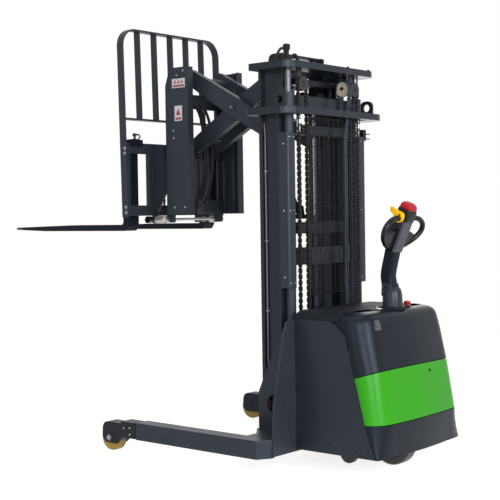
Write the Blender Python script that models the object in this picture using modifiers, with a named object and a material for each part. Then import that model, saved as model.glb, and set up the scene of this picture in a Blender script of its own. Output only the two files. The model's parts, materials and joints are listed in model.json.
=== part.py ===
"""Walkie reach truck with a raised free-lift carriage and a scissor reach frame.

Frame: +X towards the fork tips, +Y to the truck's left, +Z up, metres, floor at z = 0.
All sizes below are written from the back face of the mast bulkhead (x = 0).
The whole truck then hangs on one empty that centres its box over the origin.
"""
import bpy
import bmesh
from math import radians, sin, cos, tan, atan2, hypot, pi
from mathutils import Matrix, Vector

# Clearances
SEAT = 0.0003            # between pieces that touch
RUN = 0.0005             # roller to rail, pin to bore
CLEAR = 0.005            # between pieces that move past each other

# Straddle legs and load wheels
LEG_OUTER_Y = 0.637
LEG_WIDTH = 0.094
LEG_BOTTOM = 0.080
LEG_TOP = 0.173
LEG_FRONT_X = 0.886
LEG_CORNER_X = 0.045     # chamfer on the rear outer corner
LEG_CORNER_Y = 0.0715
LOAD_WHEEL_X = 1.090
LOAD_WHEEL_R = 0.072
LOAD_WHEEL_W = 0.050
LOAD_HOUSING_W = 0.076
LOAD_CENTRE_Y = LEG_OUTER_Y - LOAD_HOUSING_W / 2
LOAD_AXLE_R = 0.011
HOUSING_PLATE = 0.009    # cheeks beside the load wheel
HOUSING_FRONT_R = 0.058

# Body
BODY_HALF_Y = 0.385
PANEL_T = 0.012
BODY_BOTTOM = 0.100
BULKHEAD_T = 0.012
BULKHEAD_TOP = 0.752
WING_FOOT_Y = 0.570
WING_TOP_Y = 0.447
PANEL_TOP = 0.754
HOOD_REAR_X = -0.533
HOOD_T = 0.004
BAND_LOW = 0.262         # seams below and above the green band
BAND_HIGH = 0.522
DECK_TOP = 0.797
DECK_SPLIT_X = -0.285
SEAM = 0.004             # open joint between body panels

# Drive end
STEER_X = -0.345
DRIVE_WHEEL_R = 0.115
DRIVE_WHEEL_W = 0.075
MOTOR_R = 0.080
MOUNT_Z = 0.400
MOUNT_T = 0.012
CASTER_Y = 0.120
CASTER_X = -0.130
CASTER_R = 0.050
CASTER_W = 0.036
CASTER_TRAIL = 0.020
TRAY_Z = 0.165           # battery tray, with the casters under it
TRAY_T = 0.012
TRAY_BACK_X = -0.2175

# Mast, each stage: rear x, depth, outer y, inner y, web outer y, web inner y, bottom z, top z
RAIL_DEPTH = 0.130
OUTER_X = 0.104
MIDDLE_X = 0.149
INNER_X = 0.174
OUTER_Y = 0.344
RAIL_W = 0.047
STAGE_GAP = 0.005
INNER_RAIL_W = 0.050
FLANGE_T = 0.018
WEB_T = 0.012
BASE_TOP = 0.140         # top of the cross member under the mast
OUTER_TOP = 1.788
MIDDLE_TOP = 2.023
INNER_TOP = 1.990
STAGE_BOTTOM = 0.160
PLATE_T = 0.034          # head plates of the outer and middle stages
EYE_X = 0.060            # lifting eyes on the outer head plate
EYE_Y = 0.385
EYE_T = 0.012
EYE_RISE = 0.112
LIFT_TRAVEL = 1.450
CARRIAGE_DROP = 1.130

# Lift cylinders behind the outer rails
OUTER_TIE_X = 0.058
LIFT_CYL_X = 0.0775
LIFT_CYL_Y = 0.296
LIFT_BARREL_R = 0.026
LIFT_ROD_R = 0.018
GLAND_R = 0.032
COVER_LOW = 0.905
COVER_HIGH = 1.700
COVER_T = 0.003
COVER_BACK_X = LIFT_CYL_X - LIFT_BARREL_R - 0.004
COVER_INNER_Y = LIFT_CYL_Y - 0.009

# Cross ties of the stages, one plane behind the other
TIE_T = 0.017
TIE_WING = 0.020
MIDDLE_TIE_X = OUTER_TIE_X + TIE_T + 0.007
INNER_TIE_X = MIDDLE_TIE_X + TIE_T + 0.005
INNER_TIE_FRONT_X = INNER_X + 0.014

# Lift chains behind the ties, hose pulley beside them
LIFT_CHAIN_X = 0.041
LIFT_CHAIN_Y = 0.229
LIFT_SHEAVE_R = 0.034
TOP_SHEAVE_Z = 1.950
HOSE_PULLEY_Y = -0.135
HOSE_PULLEY_R = 0.0425

# Free-lift cylinder
FREE_CYL_X = 0.146
FREE_BARREL_R = 0.040
FREE_ROD_R = 0.0225
FREE_BARREL_TOP = 1.275
HEAD_Z = 1.885
SHEAVE_R = 0.030
CHAIN_T = 0.010
CHAIN_Y = 0.075          # free-lift chains either side of the cylinder
CHAIN_W = 0.022

# Scissor
ARM_HALF = 0.3876        # centre pin to end pin
ARM_ANGLE = 30.2         # degrees below level at rest
REAR_PIN_X = 0.244
TOP_PIN_Z = 2.070
PIN_R = 0.016
ARM_W_MID = 0.108
ARM_W_END = 0.084
ARM_A_OUT = 0.145
ARM_A_IN = 0.105
ARM_B_OUT = 0.098
ARM_B_IN = 0.060
GUIDE_R = 0.0345         # rollers at the arms' free ends
REACH_FOLD = 44.8        # degrees from reached out to drawn in
REACH_BASE_X = 0.274     # pin of the reach cylinder on the mast carriage
REACH_BASE_Z = 1.310
REACH_ROD_R = 0.015

# Mast carriage
CARR_PLATE_OUT = 0.180
CARR_PLATE_T = 0.012
CARR_BACK_X = 0.199
CARR_FRONT_X = 0.299
CARR_BOTTOM = 1.255
CARR_TOP = 2.130
CARR_BAR = 0.024

# Reach frame
FRAME_HALF_Y = 0.235
FRAME_BACK_X = 0.838
FRAME_FRONT_X = 1.011
FRAME_BOTTOM = 1.290
FRAME_TOP = 2.115
FRAME_WALL = 0.012
FRAME_FLANGE = 0.045

# Fork carriage, backrest and forks
TILT_X = 1.090
TILT_Z = 1.660
TILT_CYL_Y = 0.230
TILT_CYL_Z = 1.262
TILT_BACK_X = 1.029
TILT_EYE_X = 1.164
BAR_BACK_X = 1.165
BAR_FRONT_X = 1.195
BAR_HALF_Y = 0.398
TILT_LUG_Y = 0.182
TILT_LUG_T = 0.014
FORK_POST_Y = 0.198
BAR_LOW = (1.285, 1.345)
BAR_HIGH = (1.640, 1.700)
REST_BACK_X = 1.152
REST_DEPTH = 0.045
REST_T = 0.010
REST_HALF_Y = BAR_HALF_Y + SEAT + REST_T
REST_LEAN = 1.2          # degrees forward
REST_BOTTOM = 1.278
REST_TOP = 2.350
REST_CORNER_R = 0.100
REST_SLAT_LOW = 1.837
REST_SLATS = 5
FORK_Y = 0.325
FORK_W = 0.090
FORK_T = 0.035
FORK_TIP_T = 0.012
FORK_LENGTH = 0.995
FORK_UNDER = 1.200
FORK_HEEL_R = 0.045

# Tiller
TILT_PIN_X = -0.330
TILT_PIN_Z = 0.905
BOOT_R = 0.052
BOOT_TOP = 0.935
STOP_X = -0.354           # emergency stop on the deck lid
STOP_Y = -0.100
CRANK_X = -0.321         # bend of the tiller arm
CRANK_Z = 0.965
HEAD_X = -0.349          # foot of the tiller head, and its own sizes
HEAD_FOOT_Z = 1.095
HEAD_LEAN = 24.0
HEAD_FRONT = 0.034
HEAD_SPLIT = -0.016
HEAD_SLAB_T = 0.020
HEAD_HALF_Y = 0.036
CAP_LOW = 0.166
CAP_TOP = 0.226
KNOB_X = 0.000
KNOB_Z = 0.198
KNOB_PIN_R = 0.007

MIDDLE_Y = OUTER_Y - RAIL_W - STAGE_GAP
INNER_Y = MIDDLE_Y - RAIL_W - STAGE_GAP
PIN_SPAN = 2 * ARM_HALF * cos(radians(ARM_ANGLE))
PIN_DROP = 2 * ARM_HALF * sin(radians(ARM_ANGLE))
FRONT_PIN_X = REAR_PIN_X + PIN_SPAN
LOW_PIN_Z = TOP_PIN_Z - PIN_DROP
CENTRE_X = REAR_PIN_X + PIN_SPAN / 2
CENTRE_Z = TOP_PIN_Z - PIN_DROP / 2
FORK_FRONT_X = BAR_FRONT_X + SEAT + FORK_T
X_MIDDLE = (HOOD_REAR_X + FORK_FRONT_X + FORK_LENGTH) / 2

COLOURS = {
    "frame paint": ((0.045, 0.055, 0.068), 0.42, 0.0),
    "hood paint": ((0.050, 0.058, 0.070), 0.32, 0.2),
    "green paint": ((0.055, 0.400, 0.030), 0.35, 0.0),
    "black paint": ((0.012, 0.013, 0.015), 0.45, 0.0),
    "fork paint": ((0.014, 0.018, 0.024), 0.40, 0.0),
    "polyurethane": ((0.700, 0.330, 0.020), 0.45, 0.0),
    "chrome": ((0.620, 0.630, 0.640), 0.18, 1.0),
    "zinc": ((0.450, 0.450, 0.420), 0.40, 1.0),
    "chain steel": ((0.070, 0.068, 0.065), 0.50, 0.9),
    "black plastic": ((0.008, 0.008, 0.009), 0.30, 0.0),
    "grey plastic": ((0.110, 0.115, 0.120), 0.55, 0.0),
    "yellow plastic": ((0.850, 0.560, 0.010), 0.35, 0.0),
    "red plastic": ((0.550, 0.015, 0.015), 0.35, 0.0),
    "battery case": ((0.030, 0.032, 0.035), 0.60, 0.0),
    "cast iron": ((0.060, 0.060, 0.065), 0.60, 0.6),
}


def clear_scene():
    for obj in list(bpy.data.objects):
        bpy.data.objects.remove(obj, do_unlink=True)


def new_collection(name):
    group = bpy.data.collections.new(name)
    bpy.context.scene.collection.children.link(group)
    return group


def material(name):
    made = bpy.data.materials.get(name)
    if made:
        return made
    colour, rough, metal = COLOURS[name]
    made = bpy.data.materials.new(name)
    made.use_nodes = True
    shader = made.node_tree.nodes["Principled BSDF"]
    shader.inputs["Base Color"].default_value = (*colour, 1.0)
    shader.inputs["Roughness"].default_value = rough
    shader.inputs["Metallic"].default_value = metal
    return made


def mesh_object(bm, name="piece"):
    mesh = bpy.data.meshes.new(name)
    bm.normal_update()
    bm.to_mesh(mesh)
    bm.free()
    obj = bpy.data.objects.new(name, mesh)
    PARTS.objects.link(obj)
    return obj


def box(low, high):
    """A block between two corners."""
    size = [b - a for a, b in zip(low, high)]
    centre = [(a + b) / 2 for a, b in zip(low, high)]
    bm = bmesh.new()
    bmesh.ops.create_cube(bm, size=1.0)
    bmesh.ops.scale(bm, vec=size, verts=bm.verts)
    bmesh.ops.translate(bm, vec=centre, verts=bm.verts)
    return mesh_object(bm)


AXIS_TURN = {
    "X": Matrix.Rotation(pi / 2, 4, "Y"),
    "Y": Matrix.Rotation(-pi / 2, 4, "X"),
    "Z": Matrix.Identity(4),
}


def rod(start, end, radius, radius_end=None, sides=24):
    """A round bar or cone between two points."""
    start, end = Vector(start), Vector(end)
    along = end - start
    bm = bmesh.new()
    bmesh.ops.create_cone(
        bm, cap_ends=True, segments=sides, radius1=radius,
        radius2=radius if radius_end is None else radius_end, depth=along.length)
    turn = along.to_track_quat("Z", "Y").to_matrix().to_4x4()
    bm.transform(Matrix.Translation((start + end) / 2) @ turn)
    obj = mesh_object(bm)
    shade(obj)
    return obj


def turned(profile, centre, axis="Z", steps=32):
    """A profile of (radius, height) swept round an axis through centre."""
    bm = bmesh.new()
    points = [bm.verts.new((r, 0, h)) for r, h in profile]
    for a, b in zip(points, points[1:]):
        bm.edges.new((a, b))
    obj = mesh_object(bm)
    sweep = obj.modifiers.new("turn", "SCREW")
    sweep.steps = sweep.render_steps = steps
    sweep.use_merge_vertices = True
    sweep.merge_threshold = 0.0001
    return settle(obj, Matrix.Translation(centre) @ AXIS_TURN[axis])


def settle(obj, placement=Matrix.Identity(4)):
    """Turn a curve, or a mesh with modifiers, into one plain mesh, placed."""
    graph = bpy.context.evaluated_depsgraph_get()
    mesh = bpy.data.meshes.new_from_object(obj.evaluated_get(graph))
    bm = bmesh.new()
    bm.from_mesh(mesh)
    bmesh.ops.remove_doubles(bm, verts=bm.verts, dist=0.00001)
    bm.transform(placement @ obj.matrix_world)
    bmesh.ops.recalc_face_normals(bm, faces=bm.faces)
    bm.to_mesh(mesh)
    bm.free()
    made = bpy.data.objects.new("piece", mesh)
    PARTS.objects.link(made)
    bpy.data.objects.remove(obj, do_unlink=True)
    shade(made)
    return made


def shade(obj, angle=35.0):
    mesh = obj.data
    mesh.shade_smooth()
    mesh.set_sharp_from_angle(angle=radians(angle))


def rounded(corners, steps=5):
    """Outline points from (u, v) or (u, v, fillet radius) corners."""
    points = []
    count = len(corners)
    for i, corner in enumerate(corners):
        here = Vector(corner[:2])
        radius = corner[2] if len(corner) > 2 else 0.0
        if radius <= 0:
            points.append(here)
            continue
        before = (Vector(corners[i - 1][:2]) - here).normalized()
        after = (Vector(corners[(i + 1) % count][:2]) - here).normalized()
        half = before.angle(after) / 2
        reach = radius / tan(half)
        centre = here + (before + after).normalized() * (radius / sin(half))
        first = here + before * reach - centre
        sweep = first.angle_signed(here + after * reach - centre)
        for k in range(steps + 1):
            turn = Matrix.Rotation(-sweep * k / steps, 2)
            points.append(centre + turn @ first)
    return points


PLATE_FACES = {
    "X": Matrix(((0, 0, 1, 0), (1, 0, 0, 0), (0, 1, 0, 0), (0, 0, 0, 1))),
    "Y": Matrix(((1, 0, 0, 0), (0, 0, -1, 0), (0, 1, 0, 0), (0, 0, 0, 1))),
    "Z": Matrix.Identity(4),
}


def plate(corners, axis, low, high, steps=5, holes=()):
    """A flat outline, extruded along axis from low to high.

    Its corners are (y, z) for axis X, (x, z) for axis Y and (x, y) for axis Z.
    """
    curve = bpy.data.curves.new("outline", "CURVE")
    curve.dimensions = "2D"
    curve.fill_mode = "BOTH"
    curve.extrude = (high - low) / 2
    for loop in (corners, *holes):
        points = rounded(loop, steps)
        spline = curve.splines.new("POLY")
        spline.points.add(len(points) - 1)
        for slot, point in zip(spline.points, points):
            slot.co = (point.x, point.y, 0, 1)
        spline.use_cyclic_u = True
    obj = bpy.data.objects.new("outline", curve)
    PARTS.objects.link(obj)
    middle = (low + high) / 2
    shift = {"X": (middle, 0, 0), "Y": (0, middle, 0), "Z": (0, 0, middle)}[axis]
    return settle(obj, Matrix.Translation(shift) @ PLATE_FACES[axis])


def circle(u, v, radius, sides=24):
    return [(u + radius * cos(2 * pi * k / sides), v + radius * sin(2 * pi * k / sides))
            for k in range(sides)]


def tube(points, radius, resolution=2):
    """A bent round bar through points."""
    curve = bpy.data.curves.new("tube", "CURVE")
    curve.dimensions = "3D"
    curve.bevel_depth = radius
    curve.bevel_resolution = resolution
    curve.use_fill_caps = True
    spline = curve.splines.new("POLY")
    spline.points.add(len(points) - 1)
    for slot, point in zip(spline.points, points):
        slot.co = (*point, 1)
    obj = bpy.data.objects.new("tube", curve)
    PARTS.objects.link(obj)
    return settle(obj)


def mirrored(obj):
    """A copy of a piece on the truck's other side."""
    copy = obj.copy()
    copy.data = obj.data.copy()
    PARTS.objects.link(copy)
    copy.data.transform(Matrix.Scale(-1, 4, (0, 1, 0)))
    copy.data.flip_normals()
    return copy


def carve(base, tools, operation):
    for tool in tools:
        cut = base.modifiers.new(operation.lower(), "BOOLEAN")
        cut.operation = operation
        cut.solver = "EXACT"
        cut.object = tool
    graph = bpy.context.evaluated_depsgraph_get()
    mesh = bpy.data.meshes.new_from_object(base.evaluated_get(graph))
    base.modifiers.clear()
    base.data = mesh
    for tool in tools:
        bpy.data.objects.remove(tool, do_unlink=True)
    return base


def fuse(base, *others):
    return carve(base, others, "UNION")


def cut(base, *tools):
    return carve(base, tools, "DIFFERENCE")


def soften(obj, width, segments=2, angle=40.0):
    """Rounded edges on a finished solid."""
    edge = obj.modifiers.new("edges", "BEVEL")
    edge.width = width
    edge.segments = segments
    edge.limit_method = "ANGLE"
    edge.angle_limit = radians(angle)
    return obj


PIVOTS = {}


def pivot(name, place, parent=None):
    """An empty on a joint's axis, which carries one moving body."""
    empty = bpy.data.objects.new("pivot_" + name, None)
    empty.empty_display_size = 0.05
    PARTS.objects.link(empty)
    base = PIVOTS[parent][1] if parent else Vector((0, 0, 0))
    empty.location = Vector(place) - base
    if parent:
        empty.parent = PIVOTS[parent][0]
    PIVOTS[name] = (empty, Vector(place))


def finish(obj, name, paint, carrier):
    """Name a piece, paint it and hang it on the body that carries it."""
    empty, place = PIVOTS[carrier]
    obj.name = name
    obj.data.name = name
    obj.data.materials.clear()
    obj.data.materials.append(material(paint))
    obj.data.transform(Matrix.Translation(-place))
    obj.parent = empty
    shade(obj)
    return obj


def both_sides(make, name, paint, carriers):
    left = make()
    right = mirrored(left)
    finish(left, name + "_left", paint, carriers[0])
    finish(right, name + "_right", paint, carriers[1])


def make_pivots():
    pivot("truck", (0, 0, 0))
    PIVOTS["truck"][0].location = (-X_MIDDLE, 0, 0)
    for side, sign in (("left", 1), ("right", -1)):
        pivot("load_axle_" + side, (LOAD_WHEEL_X, sign * LOAD_CENTRE_Y, LOAD_WHEEL_R), "truck")
        pivot("caster_swivel_" + side, (CASTER_X, sign * CASTER_Y, CASTER_R), "truck")
        pivot("caster_axle_" + side, (CASTER_X - CASTER_TRAIL, sign * CASTER_Y, CASTER_R),
              "caster_swivel_" + side)
    pivot("steer", (STEER_X, 0, DRIVE_WHEEL_R), "truck")
    pivot("drive_axle", (STEER_X, 0, DRIVE_WHEEL_R), "steer")
    pivot("tiller_tilt", (TILT_PIN_X, 0, TILT_PIN_Z), "steer")
    pivot("mast_middle", (MIDDLE_X, 0, STAGE_BOTTOM), "truck")
    pivot("mast_inner", (INNER_X, 0, STAGE_BOTTOM), "mast_middle")
    pivot("free_lift", (FREE_CYL_X, 0, FREE_BARREL_TOP), "mast_inner")
    pivot("carriage", (REAR_PIN_X, 0, TOP_PIN_Z), "mast_inner")
    pivot("arm_b", (REAR_PIN_X, 0, TOP_PIN_Z), "carriage")
    pivot("arm_a", (CENTRE_X, 0, CENTRE_Z), "arm_b")
    pivot("reach", (FRONT_PIN_X, 0, TOP_PIN_Z), "arm_a")
    pivot("reach_cylinder", (REACH_BASE_X, 0, REACH_BASE_Z), "carriage")
    pivot("reach_rod", (CENTRE_X, 0, CENTRE_Z), "reach_cylinder")
    pivot("fork_tilt", (TILT_X, 0, TILT_Z), "reach")
    pivot("tilt_barrel", (TILT_BACK_X, 0, TILT_CYL_Z), "reach")
    pivot("tilt_rod", (TILT_EYE_X, 0, TILT_CYL_Z), "tilt_barrel")


def straddle_leg():
    inner = LEG_OUTER_Y - LEG_WIDTH
    corners = [
        (0.0, inner), (0.0, LEG_OUTER_Y - LEG_CORNER_Y), (LEG_CORNER_X, LEG_OUTER_Y),
        (LEG_FRONT_X, LEG_OUTER_Y), (LEG_FRONT_X, inner)]
    leg = plate(corners, "Z", LEG_BOTTOM, LEG_TOP)
    return soften(leg, 0.004)


def wheel_housing():
    """Cheeks and a bridge that carry the load wheel off the leg's end."""
    outer = LOAD_CENTRE_Y + LOAD_HOUSING_W / 2
    inner = LOAD_CENTRE_Y - LOAD_HOUSING_W / 2
    back = LEG_FRONT_X + SEAT
    top = 2 * LOAD_WHEEL_R + 0.015
    low = LOAD_WHEEL_R - 0.028
    nose = LOAD_WHEEL_X + HOUSING_FRONT_R
    cheek = [
        (back, LEG_BOTTOM + 0.004), (LOAD_WHEEL_X - 0.105, LEG_BOTTOM + 0.004),
        (LOAD_WHEEL_X - 0.060, low, 0.012), (LOAD_WHEEL_X + 0.030, low, 0.020),
        (nose, LOAD_WHEEL_R, 0.030), (nose - 0.006, top, 0.040), (back, top)]
    solid = plate(cheek, "Y", inner, outer)
    slot = box((LOAD_WHEEL_X - LOAD_WHEEL_R - 0.012, inner + HOUSING_PLATE, 0.0),
               (LOAD_WHEEL_X + 0.2, outer - HOUSING_PLATE, top - HOUSING_PLATE))
    cut(solid, slot)
    axle = rod((LOAD_WHEEL_X, inner - 0.004, LOAD_WHEEL_R),
               (LOAD_WHEEL_X, outer + 0.003, LOAD_WHEEL_R), LOAD_AXLE_R, sides=16)
    cap = box((LEG_FRONT_X + 0.004, inner - 0.004, top - 0.002),
              (LEG_FRONT_X + 0.110, outer + 0.002, top + 0.012))
    return fuse(solid, axle, cap)


def load_wheel():
    half = LOAD_WHEEL_W / 2
    bore = LOAD_AXLE_R + RUN
    profile = [
        (0.028, half), (0.055, half), (LOAD_WHEEL_R - 0.006, half), (LOAD_WHEEL_R, half - 0.006),
        (LOAD_WHEEL_R, -half + 0.006), (LOAD_WHEEL_R - 0.006, -half), (0.028, -half),
        (0.028, -half - 0.003), (bore, -half - 0.003), (bore, half + 0.003), (0.028, half + 0.003),
        (0.028, half)]
    return turned(profile, (LOAD_WHEEL_X, LOAD_CENTRE_Y, LOAD_WHEEL_R), "Y")


def cross_member():
    """Base under the mast, with the feet that brace the outer rails."""
    leg_inner = LEG_OUTER_Y - LEG_WIDTH - SEAT
    notch = MIDDLE_Y - 0.020
    front = OUTER_X + RAIL_DEPTH + 0.050
    throat = CARR_BACK_X - 0.036
    base = plate(
        [(0.0, -leg_inner), (front, -leg_inner), (front, -notch), (throat, -notch),
         (throat, notch), (front, notch), (front, leg_inner), (0.0, leg_inner)],
        "Z", LEG_BOTTOM + 0.005, BASE_TOP)
    foot = [
        (0.001, BASE_TOP - 0.01), (0.255, BASE_TOP - 0.01), (0.255, 0.360, 0.02), (0.210, 0.460, 0.02),
        (0.084, 0.700, 0.02), (0.001, 0.700)]
    hole = circle(0.149, 0.305, 0.048)
    left = plate(foot, "Y", OUTER_Y + SEAT, OUTER_Y + SEAT + PANEL_T, holes=(hole,))
    edge = OUTER_Y + 0.004
    corner = [(0.001, edge), (0.255, edge), (0.255, edge + 0.026), (0.120, leg_inner),
              (0.001, leg_inner)]
    gusset = plate(corner, "Z", BASE_TOP - 0.002, LEG_TOP)
    return fuse(base, left, mirrored(left), gusset, mirrored(gusset))


def bulkhead_plate():
    """Plate behind the mast, with its two outrigger wings."""
    half = [
        (WING_FOOT_Y, BODY_BOTTOM - 0.008), (WING_FOOT_Y - 0.014, 0.346),
        (0.476, 0.678), (WING_TOP_Y, BULKHEAD_TOP, 0.035)]
    corners = half + [(-y, z, *r) for y, z, *r in reversed(half)]
    holes = []
    for sign in (1, -1):
        for y, z in ((0.415, 0.700), (0.480, 0.335)):
            lean = 0.004
            holes.append([(sign * y - lean, z - 0.018), (sign * y + lean, z - 0.018),
                          (sign * y + lean, z + 0.018), (sign * y - lean, z + 0.018)])
    return plate(corners, "X", -BULKHEAD_T, -SEAT, holes=holes)


PANEL_EDGE = [
    (BODY_BOTTOM, -0.487), (0.260, -0.423), (0.486, -0.366), (0.557, -0.351), (0.690, -0.314),
    (0.741, -0.262), (PANEL_TOP, -0.180)]


def panel_rear_x(z):
    """Rear edge of the side panel, as a chain of straight runs."""
    if z <= PANEL_EDGE[0][0]:
        return PANEL_EDGE[0][1]
    for (z0, x0), (z1, x1) in zip(PANEL_EDGE, PANEL_EDGE[1:]):
        if z <= z1:
            return x0 + (x1 - x0) * (z - z0) / (z1 - z0)
    return PANEL_EDGE[-1][1]


def side_panel():
    front = -BULKHEAD_T - SEAT
    corners = [
        (front, BODY_BOTTOM), (PANEL_EDGE[0][1], BODY_BOTTOM), (-0.423, 0.260), (-0.366, 0.486, 0.2),
        (-0.318, 0.690, 0.06), (-0.240, PANEL_TOP, 0.08), (front, PANEL_TOP, 0.01)]
    panel = plate(corners, "Y", BODY_HALF_Y - PANEL_T, BODY_HALF_Y, steps=4)
    levels = (0.170, 0.260, 0.486, 0.620)
    inner = [(panel_rear_x(z) + 0.025, z) for z in levels]
    outer = [(panel_rear_x(z) - 0.0070, z) for z in levels]
    seat = BODY_HALF_Y - HOOD_T - SEAT
    flange = plate(inner + outer[::-1], "Y", seat - 0.005, seat)
    return fuse(panel, flange)


def ring_outline(z, rear, tuck, corner_r, front_x, slope, steps=6):
    """Hood section: forward edge, side, corner arc, rear centre and back again."""
    half_y = BODY_HALF_Y - tuck
    points = [(front_x, half_y)]
    depth = min(corner_r, front_x - rear - 0.016)
    centre_x = rear + 0.012 + depth
    centre_y = half_y - corner_r
    for k in range(steps + 1):
        turn = radians(90.0 * k / steps)
        points.append((centre_x - depth * sin(turn), centre_y + corner_r * cos(turn)))
    points.append((rear + 0.003, centre_y * 0.5))
    points.append((rear, 0.0))
    half = [(x, y, z - slope * max(0.0, x - rear)) for x, y in points]
    return half + [(x, -y, h) for x, y, h in reversed(half[:-1])]


def hood_sections(rows):
    """Shell lofted through sections, then thickened inwards."""
    bm = bmesh.new()
    rings = []
    for row in rows:
        rings.append([bm.verts.new(p) for p in ring_outline(**row)])
    for low, high in zip(rings, rings[1:]):
        for k in range(len(low) - 1):
            bm.faces.new((low[k], low[k + 1], high[k + 1], high[k]))
    bmesh.ops.recalc_face_normals(bm, faces=bm.faces)
    return bm


HOOD_COLUMNS = ("z", "rear", "tuck", "corner_r", "front_x", "slope")
HOOD_TABLE = [
    (BODY_BOTTOM, -0.525, 0.000, 0.140, -0.4915, 0.000),
    (BAND_LOW - SEAM / 2, HOOD_REAR_X, 0.000, 0.120, -0.4290, 0.020),
    (BAND_LOW + SEAM / 2, HOOD_REAR_X, 0.000, 0.120, -0.4280, 0.020),
    (BAND_HIGH - SEAM / 2, -0.490, 0.000, 0.115, -0.3720, 0.316),
    (BAND_HIGH + SEAM / 2, -0.489, 0.000, 0.115, -0.3715, 0.316),
    (0.640, -0.463, 0.000, 0.120, -0.3385, 0.100),
    (0.690, -0.452, 0.001, 0.120, -0.3235, 0.030),
    (0.728, -0.443, 0.005, 0.118, -0.2950, 0.000),
    (PANEL_TOP + 0.003, -0.434, 0.009, 0.115, DECK_SPLIT_X, 0.000),
    (DECK_TOP - 0.022, -0.423, 0.019, 0.110, DECK_SPLIT_X, 0.000),
    (DECK_TOP - 0.008, -0.403, 0.040, 0.100, DECK_SPLIT_X, 0.000),
    (DECK_TOP, -0.372, 0.081, 0.080, DECK_SPLIT_X, 0.000),
]
HOOD_ROWS = [dict(zip(HOOD_COLUMNS, row)) for row in HOOD_TABLE]


def hood_shell(first, last):
    bm = hood_sections(HOOD_ROWS[first:last + 1])
    obj = mesh_object(bm)
    wall = obj.modifiers.new("wall", "SOLIDIFY")
    wall.thickness = HOOD_T
    wall.offset = -1.0
    wall.use_even_offset = True
    return obj


def hood_cover():
    """Upper cover with its crowned top and the round well of the tiller."""
    rows = HOOD_ROWS[4:]
    bm = hood_sections(rows)
    crown = []
    for point in ring_outline(**rows[-1]):
        crown.append(min(bm.verts, key=lambda v, p=point: (v.co - Vector(p)).length))
    half = len(crown) // 2
    for k in range(half):
        a, b = crown[k], crown[k + 1]
        c, d = crown[-k - 2], crown[-k - 1]
        bm.faces.new((a, b, d) if b is c else (a, b, c, d))
    bmesh.ops.recalc_face_normals(bm, faces=bm.faces)
    obj = mesh_object(bm)
    wall = obj.modifiers.new("wall", "SOLIDIFY")
    wall.thickness = HOOD_T
    wall.offset = -1.0
    wall.use_even_offset = True
    obj = settle(obj)
    well = rod((STEER_X, 0, 0.70), (STEER_X, 0, 0.90), BOOT_R + 0.006, sides=32)
    return cut(obj, well)


def deck_lid():
    """Front part of the top cover, from the bulkhead to the hood."""
    front = -0.004
    section = [
        (BODY_HALF_Y, PANEL_TOP + SEAT), (BODY_HALF_Y - 0.009, DECK_TOP - 0.026, 0.01),
        (BODY_HALF_Y - 0.040, DECK_TOP - 0.008, 0.02), (BODY_HALF_Y - 0.081, DECK_TOP, 0.01)]
    outer = section + [(-y, z, *r) for y, z, *r in reversed(section)]
    lid = plate(outer, "X", DECK_SPLIT_X + SEAM, front)
    inner = [(y * 0.985, z - (HOOD_T if z > PANEL_TOP + 0.01 else 0.01)) for y, z, *r in section]
    core = inner + [(-y, z) for y, z in reversed(inner)]
    hollow = plate(core, "X", DECK_SPLIT_X - 0.1, front - HOOD_T)
    return cut(lid, hollow)


def chassis_floor():
    """Battery tray and drive mount between the side panels."""
    side = BODY_HALF_Y - PANEL_T - SEAT
    tray = box((TRAY_BACK_X, -side, TRAY_Z), (-BULKHEAD_T - SEAT, side, TRAY_Z + TRAY_T))
    wall = box((TRAY_BACK_X, -side, TRAY_Z + 0.002), (TRAY_BACK_X + 0.006, side, MOUNT_Z + 0.001))
    mount = plate(
        [(-0.430, -side + 0.06), (-0.410, -side), (TRAY_BACK_X + 0.004, -side), (TRAY_BACK_X + 0.004, side),
         (-0.410, side), (-0.430, side - 0.06)],
        "Z", MOUNT_Z, MOUNT_Z + MOUNT_T, holes=(circle(STEER_X, 0, MOTOR_R + 0.006, 32),))
    return fuse(tray, wall, mount)


def caster_fork():
    stem_top = TRAY_Z - SEAT
    crown_z = CASTER_R * 2 + 0.008
    half = CASTER_W / 2 + 0.004
    crown = rod((CASTER_X, CASTER_Y, crown_z + 0.004), (CASTER_X, CASTER_Y, stem_top), 0.030)
    legs = []
    for sign in (1, -1):
        low = CASTER_Y + sign * (half if sign > 0 else half + 0.006)
        legs.append(plate(
            [(CASTER_X + 0.018, crown_z + 0.006), (CASTER_X - CASTER_TRAIL + 0.012, CASTER_R - 0.012),
             (CASTER_X - CASTER_TRAIL - 0.012, CASTER_R - 0.012), (CASTER_X - 0.034, crown_z + 0.006)],
            "Y", low, low + 0.006))
    bridge = box((CASTER_X - 0.038, CASTER_Y - half - 0.008, crown_z),
                 (CASTER_X + 0.024, CASTER_Y + half + 0.008, crown_z + 0.010))
    axle = rod((CASTER_X - CASTER_TRAIL, CASTER_Y - half - 0.008, CASTER_R),
               (CASTER_X - CASTER_TRAIL, CASTER_Y + half + 0.008, CASTER_R), 0.007, sides=12)
    return fuse(bridge, crown, *legs, axle)


def caster_wheel():
    half = CASTER_W / 2
    bore = 0.007 + RUN
    profile = [
        (bore, half), (CASTER_R - 0.006, half), (CASTER_R, half - 0.006), (CASTER_R, -half + 0.006),
        (CASTER_R - 0.006, -half), (bore, -half), (bore, half)]
    return turned(profile, (CASTER_X - CASTER_TRAIL, CASTER_Y, CASTER_R), "Y", 24)


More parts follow.
